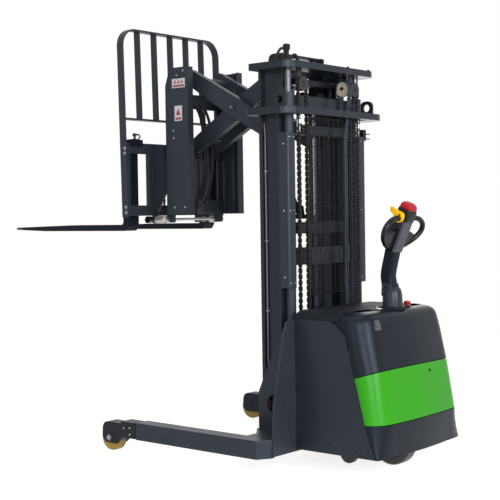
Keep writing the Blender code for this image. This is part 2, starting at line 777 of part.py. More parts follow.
def drive_wheel():
    half = DRIVE_WHEEL_W / 2
    bore = 0.016 + RUN
    profile = [
        (0.060, half - 0.010), (0.078, half - 0.010), (0.080, half), (DRIVE_WHEEL_R - 0.008, half),
        (DRIVE_WHEEL_R, half - 0.008), (DRIVE_WHEEL_R, -half + 0.008), (DRIVE_WHEEL_R - 0.008, -half),
        (0.080, -half), (0.078, -half + 0.010), (bore, -half + 0.010), (bore, half - 0.010),
        (0.060, half - 0.010)]
    return turned(profile, (STEER_X, 0, DRIVE_WHEEL_R), "Y")


def drive_unit():
    """Gear case beside the wheel, motor above it and its steering collar."""
    side = DRIVE_WHEEL_W / 2 + 0.006
    case = plate(
        [(STEER_X - 0.045, DRIVE_WHEEL_R - 0.030, 0.02), (STEER_X + 0.045, DRIVE_WHEEL_R - 0.030, 0.02),
         (STEER_X + 0.065, 0.270), (STEER_X - 0.065, 0.270)], "Y", side, side + 0.045)
    bridge = rod((STEER_X, 0, 0.240), (STEER_X, 0, 0.300), MOTOR_R)
    motor = rod((STEER_X, 0, 0.290), (STEER_X, 0, 0.640), MOTOR_R - 0.006, sides=32)
    collar = rod((STEER_X, 0, MOUNT_Z + MOUNT_T + SEAT), (STEER_X, 0, MOUNT_Z + MOUNT_T + 0.022),
                 MOTOR_R + 0.028, sides=32)
    column = rod((STEER_X, 0, 0.630), (STEER_X, 0, 0.790), 0.022)
    stub = rod((STEER_X, -0.030, DRIVE_WHEEL_R), (STEER_X, side + 0.01, DRIVE_WHEEL_R), 0.016,
               sides=20)
    return fuse(case, bridge, motor, collar, column, stub)


def battery():
    low = TRAY_Z + TRAY_T + SEAT
    block = box((TRAY_BACK_X + 0.009, -0.330, low), (-BULKHEAD_T - 0.010, 0.330, low + 0.540))
    return soften(block, 0.006, 1)


def tiller_base():
    """Turned boot with the fork that holds the tiller's pin."""
    profile = [
        (0.0, BOOT_TOP - 0.028), (0.034, BOOT_TOP - 0.028), (0.044, BOOT_TOP - 0.036),
        (BOOT_R - 0.002, 0.860), (BOOT_R, 0.800), (BOOT_R, 0.7903), (0.0, 0.7903)]
    boot = turned(profile, (STEER_X, 0, 0))
    ears = []
    for sign in (1, -1):
        low = sign * 0.0312 - (0.0 if sign > 0 else 0.009)
        ears.append(plate(
            [(TILT_PIN_X - 0.040, 0.860), (TILT_PIN_X + 0.026, 0.860),
             (TILT_PIN_X + 0.020, TILT_PIN_Z + 0.022, 0.016), (TILT_PIN_X - 0.022, TILT_PIN_Z + 0.022, 0.016)],
            "Y", low, low + 0.009))
    slot = box((TILT_PIN_X - 0.2, -0.0303, 0.880), (TILT_PIN_X + 0.2, 0.0303, 1.0))
    cut(boot, slot)
    fuse(boot, *ears)
    bore = rod((TILT_PIN_X, -0.1, TILT_PIN_Z), (TILT_PIN_X, 0.1, TILT_PIN_Z), 0.008 + 2 * RUN, sides=20)
    return cut(boot, bore)


def tiller_arm():
    """Cranked arm from the tilt pin to the head."""
    front = head_frame() @ Vector((0.024, 0, -SEAT))
    back = head_frame() @ Vector((-0.024, 0, -SEAT))
    corners = [
        (TILT_PIN_X - 0.022, TILT_PIN_Z - 0.016, 0.012), (TILT_PIN_X + 0.022, TILT_PIN_Z - 0.016, 0.012),
        (CRANK_X + 0.023, CRANK_Z, 0.040), (front.x, front.z), (back.x, back.z), (CRANK_X - 0.023, CRANK_Z, 0.040)]
    arm = plate(corners, "Y", -0.030 + RUN, 0.030 - RUN)
    pin = rod((TILT_PIN_X, -0.0395, TILT_PIN_Z), (TILT_PIN_X, 0.0395, TILT_PIN_Z), 0.008, sides=16)
    return fuse(arm, pin)


def head_frame():
    """Placement of the tiller head: its own z runs up the leaning head."""
    return Matrix.Translation((HEAD_X, 0, HEAD_FOOT_Z)) @ Matrix.Rotation(-radians(HEAD_LEAN), 4, "Y")


def placed_on_head(obj):
    obj.data.transform(head_frame())
    return obj


def tiller_head():
    """Grey slab that closes the rear of the head."""
    back = HEAD_SPLIT - HEAD_SLAB_T
    slab = plate(
        [(back, 0.0), (HEAD_SPLIT, 0.0), (HEAD_SPLIT, CAP_LOW - SEAT), (back, CAP_LOW - SEAT)],
        "Y", -HEAD_HALF_Y, HEAD_HALF_Y)
    return placed_on_head(slab)


def tiller_grips():
    """Moulded black body of the head with its cap, webs and two closed hand loops."""
    low = HEAD_SPLIT + SEAT
    body = plate(
        [(low, 0.0), (HEAD_FRONT, 0.0, 0.012), (HEAD_FRONT, CAP_TOP), (HEAD_SPLIT - HEAD_SLAB_T - 0.004, CAP_TOP),
         (HEAD_SPLIT - HEAD_SLAB_T - 0.004, CAP_LOW), (low, CAP_LOW)],
        "Y", -HEAD_HALF_Y - 0.002, HEAD_HALF_Y + 0.002)
    loop = [
        (0.030, 0.152), (0.070, 0.156), (0.110, 0.150), (0.142, 0.128), (0.146, 0.098), (0.118, 0.062),
        (0.068, 0.028), (0.030, 0.010)]
    web = [(0.030, 0.010), (0.068, 0.028), (0.118, 0.062), (0.126, 0.078), (0.030, 0.104)]
    wing = low + 0.0165
    pieces = []
    for side in (1, -1):
        pieces.append(tube([(wing, side * y, z) for y, z in loop], 0.013))
        corners = [(side * y, z) for y, z in (web if side > 0 else web[::-1])]
        pieces.append(plate(corners, "X", wing - 0.006, wing + 0.006))
    bore = rod((KNOB_X, -0.1, KNOB_Z), (KNOB_X, 0.1, KNOB_Z), KNOB_PIN_R + SEAT, sides=12)
    return placed_on_head(cut(fuse(body, *pieces), bore))


def tiller_knobs():
    """Thumb butterfly: a spindle through the cap with a lobe on each side."""
    reach = HEAD_HALF_Y + 0.003
    spindle = rod((KNOB_X, -reach - 0.015, KNOB_Z), (KNOB_X, reach + 0.015, KNOB_Z), KNOB_PIN_R, sides=12)
    lobes = []
    for side in (1, -1):
        low = reach if side > 0 else -reach - 0.016
        lobes.append(plate(
            [(KNOB_X + 0.052, KNOB_Z + 0.022, 0.006), (KNOB_X - 0.012, KNOB_Z + 0.026, 0.014),
             (KNOB_X - 0.024, KNOB_Z - 0.022, 0.014), (KNOB_X + 0.020, KNOB_Z - 0.026, 0.012)],
            "Y", low, low + 0.016))
    return placed_on_head(fuse(spindle, *lobes))


def belly_button():
    """Domed safety button that closes the end of the head."""
    low = CAP_TOP + SEAT
    back = HEAD_SPLIT - HEAD_SLAB_T - 0.002
    dome = plate(
        [(back, low), (HEAD_FRONT - 0.002, low), (HEAD_FRONT - 0.006, low + 0.016, 0.010),
         (back + 0.010, low + 0.022, 0.016)], "Y", -HEAD_HALF_Y + 0.004, HEAD_HALF_Y - 0.004)
    return placed_on_head(dome)


def emergency_stop():
    profile = [(0.0, 0.030), (0.014, 0.028), (0.018, 0.022), (0.018, 0.016), (0.009, 0.012),
               (0.009, 0.0), (0.0, 0.0)]
    return turned(profile, (STOP_X, STOP_Y, DECK_TOP + SEAT), "Z", 20)


def rail_outline(back, outer, inner, web_outer, web_inner):
    """Section of one mast rail: two flanges and a web."""
    front = back + RAIL_DEPTH
    return [(back, inner), (back, outer), (back + FLANGE_T, outer), (back + FLANGE_T, web_outer),
            (front - FLANGE_T, web_outer), (front - FLANGE_T, outer), (front, outer), (front, inner),
            (front - FLANGE_T, inner), (front - FLANGE_T, web_inner), (back + FLANGE_T, web_inner),
            (back + FLANGE_T, inner)]


def rail_pair(back, outer, width, low, high, open_side_only=False):
    inner = outer - width
    if open_side_only:
        web_outer, web_inner = outer, outer - WEB_T
        front = back + RAIL_DEPTH
        corners = [(back, inner), (back, outer), (front, outer), (front, inner),
                   (front - FLANGE_T, inner), (front - FLANGE_T, web_inner), (back + FLANGE_T, web_inner),
                   (back + FLANGE_T, inner)]
    else:
        middle = (outer + inner) / 2
        corners = rail_outline(back, outer, inner, middle + WEB_T / 2, middle - WEB_T / 2)
    left = plate(corners, "Z", low, high)
    return left, mirrored(left)


def tie(low, high, bar_back, bar_half, step_x, end_half, end_front):
    """Cross tie whose ends turn forward, then out to the rails."""
    bar_front = bar_back + TIE_T
    half = [(bar_front, bar_half - TIE_WING), (end_front, bar_half - TIE_WING), (end_front, end_half),
            (step_x, end_half), (step_x, bar_half), (bar_back, bar_half)]
    corners = half + [(x, -y) for x, y in reversed(half)]
    return plate(corners, "Z", low, high)


def head_plate(back, front, half_y, throat_back, throat_half, low, corner_r):
    """U-shaped plate that ties the tops of a stage's rails."""
    half = [(back, half_y, corner_r), (front, half_y, 0.015), (front, throat_half),
            (throat_back, throat_half)]
    corners = [(x, -y, *r) for x, y, *r in reversed(half)]
    return plate(half + corners, "Z", low, low + PLATE_T, steps=6)


def mast_outer():
    left, right = rail_pair(OUTER_X, OUTER_Y, RAIL_W, BASE_TOP + SEAT, OUTER_TOP + 0.002)
    inner = OUTER_Y - RAIL_W
    tie_half = LIFT_CYL_Y - LIFT_BARREL_R - 0.006
    ties = [tie(low, high, OUTER_TIE_X, tie_half, LIFT_CYL_X + LIFT_BARREL_R + 0.001, inner + 0.004,
                OUTER_X + FLANGE_T - CLEAR)
            for low, high in ((0.200, 0.270), (1.020, 1.110), (1.690, 1.740))]
    top = head_plate(-0.033, 0.250, 0.432, 0.0, inner + 0.0005, OUTER_TOP, 0.080)
    bores = [rod((LIFT_CYL_X, s * LIFT_CYL_Y, 1.7), (LIFT_CYL_X, s * LIFT_CYL_Y, 1.9),
                 LIFT_BARREL_R + SEAT, sides=24) for s in (1, -1)]
    cut(top, *bores)
    eyes = []
    for sign in (1, -1):
        low = sign * EYE_Y - EYE_T / 2
        eyes.append(plate(
            [(EYE_X - 0.040, OUTER_TOP + 0.03), (EYE_X + 0.040, OUTER_TOP + 0.03),
             (EYE_X + 0.040, OUTER_TOP + EYE_RISE, 0.03), (EYE_X - 0.040, OUTER_TOP + EYE_RISE, 0.03)],
            "Y", low, low + EYE_T, holes=(circle(EYE_X, OUTER_TOP + EYE_RISE - 0.038, 0.021, 16),)))
    return fuse(left, right, *ties, top, *eyes)


def lift_barrel():
    low = BASE_TOP + SEAT
    barrel = rod((LIFT_CYL_X, LIFT_CYL_Y, low), (LIFT_CYL_X, LIFT_CYL_Y, 1.890), LIFT_BARREL_R)
    gland = rod((LIFT_CYL_X, LIFT_CYL_Y, OUTER_TOP + PLATE_T + SEAT), (LIFT_CYL_X, LIFT_CYL_Y, 1.905), GLAND_R)
    bore = rod((LIFT_CYL_X, LIFT_CYL_Y, 1.700), (LIFT_CYL_X, LIFT_CYL_Y, 1.950), LIFT_ROD_R + RUN)
    return cut(fuse(barrel, gland), bore)


def lift_rod():
    return rod((LIFT_CYL_X, LIFT_CYL_Y, 1.705), (LIFT_CYL_X, LIFT_CYL_Y, MIDDLE_TOP - SEAT), LIFT_ROD_R)


def cylinder_cover():
    """Folded sheet beside and behind the lift cylinder, open on its inner side."""
    front = OUTER_X - SEAT
    back = COVER_BACK_X
    outer = OUTER_Y
    sheet = [
        (front, outer), (back, outer, 0.010), (back, COVER_INNER_Y), (back + COVER_T, COVER_INNER_Y),
        (back + COVER_T, outer - COVER_T, 0.007), (front, outer - COVER_T)]
    return plate(sheet, "Z", COVER_LOW, COVER_HIGH, steps=4)


def mast_guard():
    """Guard screen behind the mast: a frame with a grid of slots."""
    low_z, high_z = 0.860, 1.785
    half = 0.150
    thick = 0.003
    rows, columns = 14, 6
    margin, bar = 0.014, 0.005
    holes = []
    for i in range(columns):
        for k in range(rows):
            u0 = -half + margin + i * (2 * half - 2 * margin + bar) / columns
            v0 = low_z + margin + k * (high_z - low_z - 2 * margin + bar) / rows
            u1 = u0 + (2 * half - 2 * margin + bar) / columns - bar
            v1 = v0 + (high_z - low_z - 2 * margin + bar) / rows - bar
            holes.append([(u0, v0), (u1, v0), (u1, v1), (u0, v1)])
    outline = [(-half, low_z), (half, low_z), (half, high_z), (-half, high_z)]
    return plate(outline, "X", OUTER_TIE_X - SEAT - thick, OUTER_TIE_X - SEAT, holes=holes)


def mast_middle():
    left, right = rail_pair(MIDDLE_X, MIDDLE_Y, RAIL_W, STAGE_BOTTOM, MIDDLE_TOP + 0.002)
    inner = MIDDLE_Y - RAIL_W
    ties = [tie(low, high, MIDDLE_TIE_X, inner - 0.018, OUTER_X + FLANGE_T + 0.002, inner + 0.004, MIDDLE_X + 0.015)
            for low, high in ((0.290, 0.350), (1.180, 1.240), (1.835, 1.895))]
    top = head_plate(-0.005, 0.272, 0.387, INNER_TIE_X - CLEAR, inner + 0.0005, MIDDLE_TOP, 0.065)
    rollers = []
    channel = RAIL_DEPTH - 2 * FLANGE_T
    for sign in (1, -1):
        y0 = sign * (MIDDLE_Y - RAIL_W / 2)
        y1 = sign * (OUTER_Y - RAIL_W / 2 - WEB_T / 2 - RUN)
        x = OUTER_X + RAIL_DEPTH / 2
        rollers.append(rod((x, sign * (MIDDLE_Y + 0.0065), 0.240), (x, y1, 0.240), channel / 2 - RUN, sides=20))
        rollers.append(rod((x, y0, 0.240), (x, sign * (MIDDLE_Y + 0.010), 0.240), 0.012, sides=12))
    return fuse(left, right, *ties, top, *rollers)


def mast_inner():
    left, right = rail_pair(INNER_X, INNER_Y, INNER_RAIL_W, STAGE_BOTTOM, INNER_TOP, True)
    inner = INNER_Y - INNER_RAIL_W
    back, front = INNER_TIE_X, INNER_TIE_FRONT_X
    reach = inner + 0.004
    half = [(back, reach), (front, reach), (front, 0.150), (front - 0.020, 0.150)]
    corners = half + [(x, -y) for x, y in reversed(half)]
    foot = plate(corners, "Z", STAGE_BOTTOM, STAGE_BOTTOM + 0.030)
    ties = [plate(corners, "Z", low, high) for low, high in ((1.200, 1.240), (1.955, 1.985))]
    bore = rod((FREE_CYL_X, 0, 1.1), (FREE_CYL_X, 0, 1.3), FREE_BARREL_R + SEAT, sides=24)
    slots = []
    for sign in (1, -1):
        y0 = sign * CHAIN_Y
        half = CHAIN_W / 2 + CLEAR
        slots.append(box((back - 0.02, y0 - half, 1.1), (FREE_CYL_X - SHEAVE_R + CLEAR, y0 + half, 1.3)))
    cut(ties[0], bore, *slots)
    rollers = []
    channel = RAIL_DEPTH - 2 * FLANGE_T
    x = MIDDLE_X + RAIL_DEPTH / 2
    for sign in (1, -1):
        y1 = sign * (MIDDLE_Y - RAIL_W / 2 - WEB_T / 2 - RUN)
        rollers.append(rod((x, sign * (INNER_Y + 0.0055), 0.300), (x, y1, 0.300), channel / 2 - RUN, sides=20))
        rollers.append(rod((x, sign * (INNER_Y - 0.006), 0.300), (x, sign * (INNER_Y + 0.010), 0.300), 0.012,
                           sides=12))
    return fuse(left, right, foot, *ties, *rollers)


def free_lift_barrel():
    low = STAGE_BOTTOM + 0.030 + SEAT
    barrel = rod((FREE_CYL_X, 0, low), (FREE_CYL_X, 0, FREE_BARREL_TOP), FREE_BARREL_R)
    bore = rod((FREE_CYL_X, 0, 0.600), (FREE_CYL_X, 0, FREE_BARREL_TOP + 0.1), FREE_ROD_R + RUN)
    return cut(barrel, bore)


def free_lift_rod():
    return rod((FREE_CYL_X, 0, FREE_BARREL_TOP - 0.060), (FREE_CYL_X, 0, HEAD_Z - 0.035 - SEAT), FREE_ROD_R)


def chain_run(x, y, low, high, across="Y"):
    """One straight run of leaf chain."""
    half = CHAIN_W / 2
    thick = CHAIN_T / 2
    if across == "Y":
        return box((x - thick, y - half, low), (x + thick, y + half, high))
    return box((x - half, y - thick, low), (x + half, y + thick, high))


def free_lift_head():
    """Crosshead with two chain sheaves and the chains that hang from them."""
    block = box((FREE_CYL_X - 0.036, -0.105, HEAD_Z - 0.035), (FREE_CYL_X + 0.036, 0.105, HEAD_Z - 0.008))
    axle = rod((FREE_CYL_X, -0.105, HEAD_Z), (FREE_CYL_X, 0.105, HEAD_Z), 0.012, sides=16)
    posts = [box((FREE_CYL_X - 0.014, y - 0.006, HEAD_Z - 0.02), (FREE_CYL_X + 0.014, y + 0.006, HEAD_Z + 0.014))
             for y in (-0.099, -0.050, 0.050, 0.099)]
    wheels = []
    for y in (-CHAIN_Y, CHAIN_Y):
        wheels.append(rod((FREE_CYL_X, y - 0.011, HEAD_Z), (FREE_CYL_X, y + 0.011, HEAD_Z), SHEAVE_R + CHAIN_T,
                          sides=20))
        offset = SHEAVE_R + CHAIN_T / 2
        wheels.append(chain_run(FREE_CYL_X + offset, y, CARR_BOTTOM + CARR_BAR + SEAT, HEAD_Z))
        wheels.append(chain_run(FREE_CYL_X - offset, y, 1.2403, HEAD_Z))
    return fuse(block, axle, *posts, *wheels)


def lift_chain():
    """Sheave under the middle stage's head plate, with its two chain runs."""
    x, y, z = LIFT_CHAIN_X, LIFT_CHAIN_Y, TOP_SHEAVE_Z
    disc = rod((x - 0.012, y, z), (x + 0.012, y, z), LIFT_SHEAVE_R + CHAIN_T / 2, sides=24)
    boss = rod((x - 0.016, y, z), (x + 0.036, y, z), 0.012, sides=16)
    hanger = box((x + 0.014, y - 0.018, z - 0.02), (x + 0.026, y + 0.018, MIDDLE_TOP - SEAT))
    runs = [chain_run(x, y + side * LIFT_SHEAVE_R, 0.240, z, across="X") for side in (1, -1)]
    return fuse(disc, boss, hanger, *runs)


def hose_pulley():
    """Hose pulley under the middle stage's head plate."""
    x, y, z = LIFT_CHAIN_X + 0.009, HOSE_PULLEY_Y, TOP_SHEAVE_Z
    disc = rod((x, y - 0.010, z), (x, y + 0.010, z), HOSE_PULLEY_R, sides=24)
    bracket = box((x - 0.014, y + 0.008, z - 0.02), (x + 0.014, y + 0.016, MIDDLE_TOP - SEAT))
    return fuse(disc, bracket)


def mast_carriage():
    inner = CARR_PLATE_OUT - CARR_PLATE_T
    side = plate(
        [(CARR_BACK_X, CARR_BOTTOM), (CARR_FRONT_X, CARR_BOTTOM), (CARR_FRONT_X, CARR_TOP, 0.03),
         (CARR_BACK_X, CARR_TOP, 0.01)], "Y", inner, CARR_PLATE_OUT,
        holes=(circle(REAR_PIN_X, TOP_PIN_Z, PIN_R + RUN, 20),))
    ribs = []
    half = GUIDE_R + RUN
    for x0, x1 in ((REAR_PIN_X - half - 0.009, REAR_PIN_X - half), (REAR_PIN_X + half, REAR_PIN_X + half + 0.009)):
        ribs.append(box((x0, ARM_A_OUT + 0.006, CARR_BOTTOM + 0.02), (x1, inner + 0.002, LOW_PIN_Z + 0.060)))
    rollers = []
    channel = RAIL_DEPTH - 2 * FLANGE_T
    x = INNER_X + RAIL_DEPTH / 2
    for z in (1.400, 1.900):
        rollers.append(rod((x, CARR_PLATE_OUT + 0.0055, z), (x, INNER_Y - WEB_T - RUN, z), channel / 2 - RUN,
                           sides=20))
        rollers.append(rod((x, CARR_PLATE_OUT - 0.004, z), (x, CARR_PLATE_OUT + 0.010, z), 0.012, sides=12))
    fuse(side, *ribs, *rollers)
    other = mirrored(side)
    bars = [box((CARR_BACK_X + 0.002, -inner - 0.004, CARR_BOTTOM + 0.001),
                (CARR_FRONT_X - 0.002, inner + 0.004, CARR_BOTTOM + CARR_BAR)),
            box((CARR_BACK_X + 0.012, -inner - 0.004, TOP_PIN_Z + 0.048),
                (CARR_FRONT_X - 0.032, inner + 0.004, CARR_TOP - 0.002))]
    lugs = []
    for sign in (1, -1):
        chain_y = sign * CHAIN_Y
        lugs.append(box((INNER_TIE_FRONT_X - 0.020 + 0.0055, chain_y - CHAIN_W / 2, CARR_BOTTOM + 0.002),
                        (CARR_BACK_X + 0.010, chain_y + CHAIN_W / 2, CARR_BOTTOM + CARR_BAR)))
        low = sign * 0.036 - (0.0 if sign > 0 else 0.012)
        lugs.append(plate(
            [(REACH_BASE_X - 0.030, CARR_BOTTOM + 0.01), (REACH_BASE_X + 0.022, CARR_BOTTOM + 0.01),
             (REACH_BASE_X + 0.022, REACH_BASE_Z + 0.020, 0.015), (REACH_BASE_X - 0.022, REACH_BASE_Z + 0.020, 0.015)],
            "Y", low, low + 0.012, holes=(circle(REACH_BASE_X, REACH_BASE_Z, 0.012 + RUN, 16),)))
    return fuse(side, other, *bars, *lugs)


def arm_outline(start, end):
    """Tapered arm with round ends, through a wider middle."""
    a, b = Vector(start), Vector(end)
    along = (b - a).normalized()
    across = Vector((-along.y, along.x))
    middle = (a + b) / 2
    end_half = ARM_W_END / 2
    mid_half = ARM_W_MID / 2
    points = []
    steps = 6
    for k in range(steps + 1):
        turn = radians(90 + 180 * k / steps)
        points.append(a + along * (end_half * cos(turn)) + across * (end_half * sin(turn)))
    points.append(middle - across * mid_half)
    for k in range(steps + 1):
        turn = radians(-90 + 180 * k / steps)
        points.append(b + along * (end_half * cos(turn)) + across * (end_half * sin(turn)))
    points.append(middle + across * mid_half)
    return [(p.x, p.y) for p in points]


def scissor_arm_a():
    """Outer arms, from the reach frame's top pins to rollers in the carriage."""
    rear = (REAR_PIN_X, LOW_PIN_Z)
    front = (FRONT_PIN_X, TOP_PIN_Z)
    blade = plate(arm_outline(rear, front), "Y", ARM_A_IN, ARM_A_OUT,
                  holes=(circle(CENTRE_X, CENTRE_Z, PIN_R + RUN, 20),))
    pin = rod((FRONT_PIN_X, ARM_A_IN + 0.01, TOP_PIN_Z), (FRONT_PIN_X, FRAME_HALF_Y + 0.004, TOP_PIN_Z), PIN_R,
              sides=20)
    stub = rod((REAR_PIN_X, ARM_A_IN + 0.01, LOW_PIN_Z), (REAR_PIN_X, ARM_A_OUT + 0.010, LOW_PIN_Z), PIN_R,
               sides=20)
    wheel = rod((REAR_PIN_X, ARM_A_OUT + 0.005, LOW_PIN_Z),
                (REAR_PIN_X, CARR_PLATE_OUT - CARR_PLATE_T - RUN, LOW_PIN_Z), GUIDE_R, sides=20)
    fuse(blade, pin, stub, wheel)
    other = mirrored(blade)
    lean = radians(ARM_ANGLE)
    reach = 0.330
    x = CENTRE_X + reach * cos(lean)
    z = CENTRE_Z + reach * sin(lean)
    bar = rod((x, -ARM_A_IN - 0.01, z), (x, ARM_A_IN + 0.01, z), 0.022, sides=20)
    return fuse(blade, other, bar)


def scissor_arm_b():
    """Inner arms, from the carriage's top pins to rollers in the reach frame."""
    rear = (REAR_PIN_X, TOP_PIN_Z)
    front = (FRONT_PIN_X, LOW_PIN_Z)
    blade = plate(arm_outline(rear, front), "Y", ARM_B_IN, ARM_B_OUT)
    pin = rod((REAR_PIN_X, ARM_B_IN + 0.01, TOP_PIN_Z), (REAR_PIN_X, CARR_PLATE_OUT - 0.001, TOP_PIN_Z), PIN_R,
              sides=20)
    middle = rod((CENTRE_X, ARM_B_IN + 0.01, CENTRE_Z), (CENTRE_X, ARM_A_OUT + 0.006, CENTRE_Z), PIN_R, sides=20)
    stub = rod((FRONT_PIN_X, ARM_B_IN + 0.01, LOW_PIN_Z), (FRONT_PIN_X, FRAME_HALF_Y - 0.030, LOW_PIN_Z), PIN_R,
               sides=20)
    wheel = rod((FRONT_PIN_X, FRAME_HALF_Y - 0.042, LOW_PIN_Z),
                (FRONT_PIN_X, FRAME_HALF_Y - FRAME_WALL - RUN, LOW_PIN_Z), GUIDE_R, sides=20)
    fuse(blade, pin, middle, stub, wheel)
    other = mirrored(blade)
    lean = radians(ARM_ANGLE)
    bars = []
    for reach in (-0.300, 0.310):
        x = CENTRE_X + reach * cos(lean)
        z = CENTRE_Z - reach * sin(lean)
        bars.append(rod((x, -ARM_B_IN - 0.01, z), (x, ARM_B_IN + 0.01, z), 0.020, sides=20))
    return fuse(blade, other, *bars)


def reach_barrel():
    base = Vector((REACH_BASE_X, 0, REACH_BASE_Z))
    along = (Vector((CENTRE_X, 0, CENTRE_Z)) - base).normalized()
    eye = rod((REACH_BASE_X, -0.033, REACH_BASE_Z), (REACH_BASE_X, 0.033, REACH_BASE_Z), 0.022, sides=20)
    pin = rod((REACH_BASE_X, -0.048, REACH_BASE_Z), (REACH_BASE_X, 0.048, REACH_BASE_Z), 0.012, sides=16)
    barrel = rod(base, base + along * 0.330, 0.028)
    bore = rod(base + along * 0.060, base + along * 0.400, 0.0150 + RUN)
    return cut(fuse(eye, barrel, pin), bore)


def reach_rod():
    base = Vector((REACH_BASE_X, 0, REACH_BASE_Z))
    end = Vector((CENTRE_X, 0, CENTRE_Z))
    along = (end - base).normalized()
    bar = rod(base + along * 0.316, end, 0.0150, sides=20)
    eye = rod((CENTRE_X, -0.020, CENTRE_Z), (CENTRE_X, 0.020, CENTRE_Z), 0.026, sides=20)
    pin = rod((CENTRE_X, -ARM_B_IN + SEAT, CENTRE_Z), (CENTRE_X, ARM_B_IN - SEAT, CENTRE_Z), 0.014, sides=20)
    return fuse(bar, eye, pin)


def reach_frame():
    """Channel uprights with roller guides, cross bars and the tilt hinge lugs."""
    y1 = FRAME_HALF_Y
    y0 = FRAME_HALF_Y - FRAME_WALL
    yf = FRAME_HALF_Y - FRAME_FLANGE
    back, front = FRAME_BACK_X, FRAME_FRONT_X
    wall = FRAME_WALL
    section = [(back, yf), (back, y1), (front, y1), (front, yf), (front - wall, yf), (front - wall, y0),
               (back + wall, y0), (back + wall, yf)]
    side = plate(section, "Z", FRAME_BOTTOM, FRAME_TOP)
    top_cut = plate(
        [(front + 0.1, FRAME_TOP + 0.1), (front - 0.025, FRAME_TOP + 0.1), (front - 0.025, FRAME_TOP - 0.030),
         (front + 0.012, FRAME_TOP - 0.130), (front + 0.1, FRAME_TOP - 0.130)], "Y", 0.1, 0.3)
    half = GUIDE_R + RUN
    ribs = [box((x0, yf, FRAME_BOTTOM + 0.002), (x1, y0 + 0.002, FRAME_TOP - 0.002))
            for x0, x1 in ((FRONT_PIN_X - half - 0.010, FRONT_PIN_X - half),
                           (FRONT_PIN_X + half, FRONT_PIN_X + half + 0.010))]
    fuse(side, *ribs)
    hole = rod((FRONT_PIN_X, 0.15, TOP_PIN_Z), (FRONT_PIN_X, 0.3, TOP_PIN_Z), PIN_R + RUN, sides=20)
    cut(side, hole, top_cut)
    other = mirrored(side)
    bars = [box((front - 0.030, -y0 - 0.004, low), (front - 0.002, y0 + 0.004, high))
            for low, high in ((1.292, 1.370), (1.610, 1.705), (1.900, 1.980))]
    lugs = []
    for sign in (1, -1):
        low = sign * 0.150 - (0.0 if sign > 0 else 0.015)
        lugs.append(plate(
            [(front - 0.010, 1.620), (TILT_X, TILT_Z - 0.028, 0.01), (TILT_X + 0.026, TILT_Z, 0.02),
             (TILT_X, TILT_Z + 0.028, 0.01), (front - 0.010, 1.700)], "Y", low, low + 0.015))
        lugs.append(rod((TILT_X, sign * 0.155, TILT_Z), (TILT_X, sign * 0.196, TILT_Z), 0.014, sides=16))
        low = sign * 0.196 - (0.0 if sign > 0 else 0.012)
        lugs.append(plate(
            [(front - 0.030, 1.300), (front - 0.030, TILT_CYL_Z - 0.018, 0.01),
             (TILT_BACK_X + 0.016, TILT_CYL_Z - 0.018, 0.01), (TILT_BACK_X + 0.016, TILT_CYL_Z + 0.018, 0.01),
             (front - 0.004, 1.330)],
            "Y", low, low + 0.012, holes=(circle(TILT_BACK_X, TILT_CYL_Z, 0.008 + RUN, 16),)))
    return fuse(side, other, *bars, *lugs)


def fork_carriage():
    bars = [box((BAR_BACK_X, -BAR_HALF_Y, low), (BAR_FRONT_X, BAR_HALF_Y, high)) for low, high in (BAR_LOW, BAR_HIGH)]
    pieces = []
    for sign in (1, -1):
        low = sign * TILT_LUG_Y - TILT_LUG_T / 2
        pieces.append(plate(
            [(TILT_X - 0.028, 1.420, 0.02), (BAR_BACK_X - 0.030, 1.300), (TILT_EYE_X - 0.022, TILT_CYL_Z - 0.020, 0.01),
             (TILT_EYE_X + 0.020, TILT_CYL_Z - 0.020, 0.01), (BAR_BACK_X + 0.012, 1.300),
             (BAR_BACK_X + 0.012, 1.690), (TILT_X - 0.020, 1.690, 0.02)],
            "Y", low, low + TILT_LUG_T,
            holes=(circle(TILT_X, TILT_Z, 0.014 + RUN, 16), circle(TILT_EYE_X, TILT_CYL_Z, 0.007 + 0.0008, 16))))
        for post_y, half in ((FORK_POST_Y, 0.020), (BAR_HALF_Y - 0.018, 0.014)):
            pieces.append(box(
                (BAR_BACK_X + 0.004, sign * post_y - half, BAR_LOW[0] + 0.01),
                (BAR_FRONT_X - 0.001, sign * post_y + half, BAR_HIGH[1] - 0.01)))
    return fuse(bars[0], bars[1], *pieces)


def tilt_barrels():
    shaft = rod((TILT_BACK_X, -TILT_CYL_Y - 0.008, TILT_CYL_Z), (TILT_BACK_X, TILT_CYL_Y + 0.008, TILT_CYL_Z), 0.008,
                sides=16)
    pieces = []
    bores = []
    for sign in (1, -1):
        y = sign * TILT_CYL_Y
        pieces.append(rod((TILT_BACK_X, y - 0.016, TILT_CYL_Z), (TILT_BACK_X, y + 0.016, TILT_CYL_Z), 0.020, sides=20))
        pieces.append(rod((TILT_BACK_X, y, TILT_CYL_Z), (TILT_BACK_X + 0.085, y, TILT_CYL_Z), 0.022, sides=20))
        bores.append(rod((TILT_BACK_X + 0.022, y, TILT_CYL_Z), (TILT_BACK_X + 0.1, y, TILT_CYL_Z), 0.010 + RUN, sides=20))
    return cut(fuse(shaft, *pieces), *bores)


def tilt_rods():
    shaft = rod((TILT_EYE_X, -TILT_CYL_Y - 0.008, TILT_CYL_Z), (TILT_EYE_X, TILT_CYL_Y + 0.008, TILT_CYL_Z), 0.007,
                sides=16)
    pieces = []
    for sign in (1, -1):
        y = sign * TILT_CYL_Y
        pieces.append(rod((TILT_EYE_X, y - 0.014, TILT_CYL_Z), (TILT_EYE_X, y + 0.014, TILT_CYL_Z), 0.020, sides=20))
        pieces.append(rod((TILT_BACK_X + 0.046, y, TILT_CYL_Z), (TILT_EYE_X, y, TILT_CYL_Z), 0.010, sides=20))
    return fuse(shaft, *pieces)


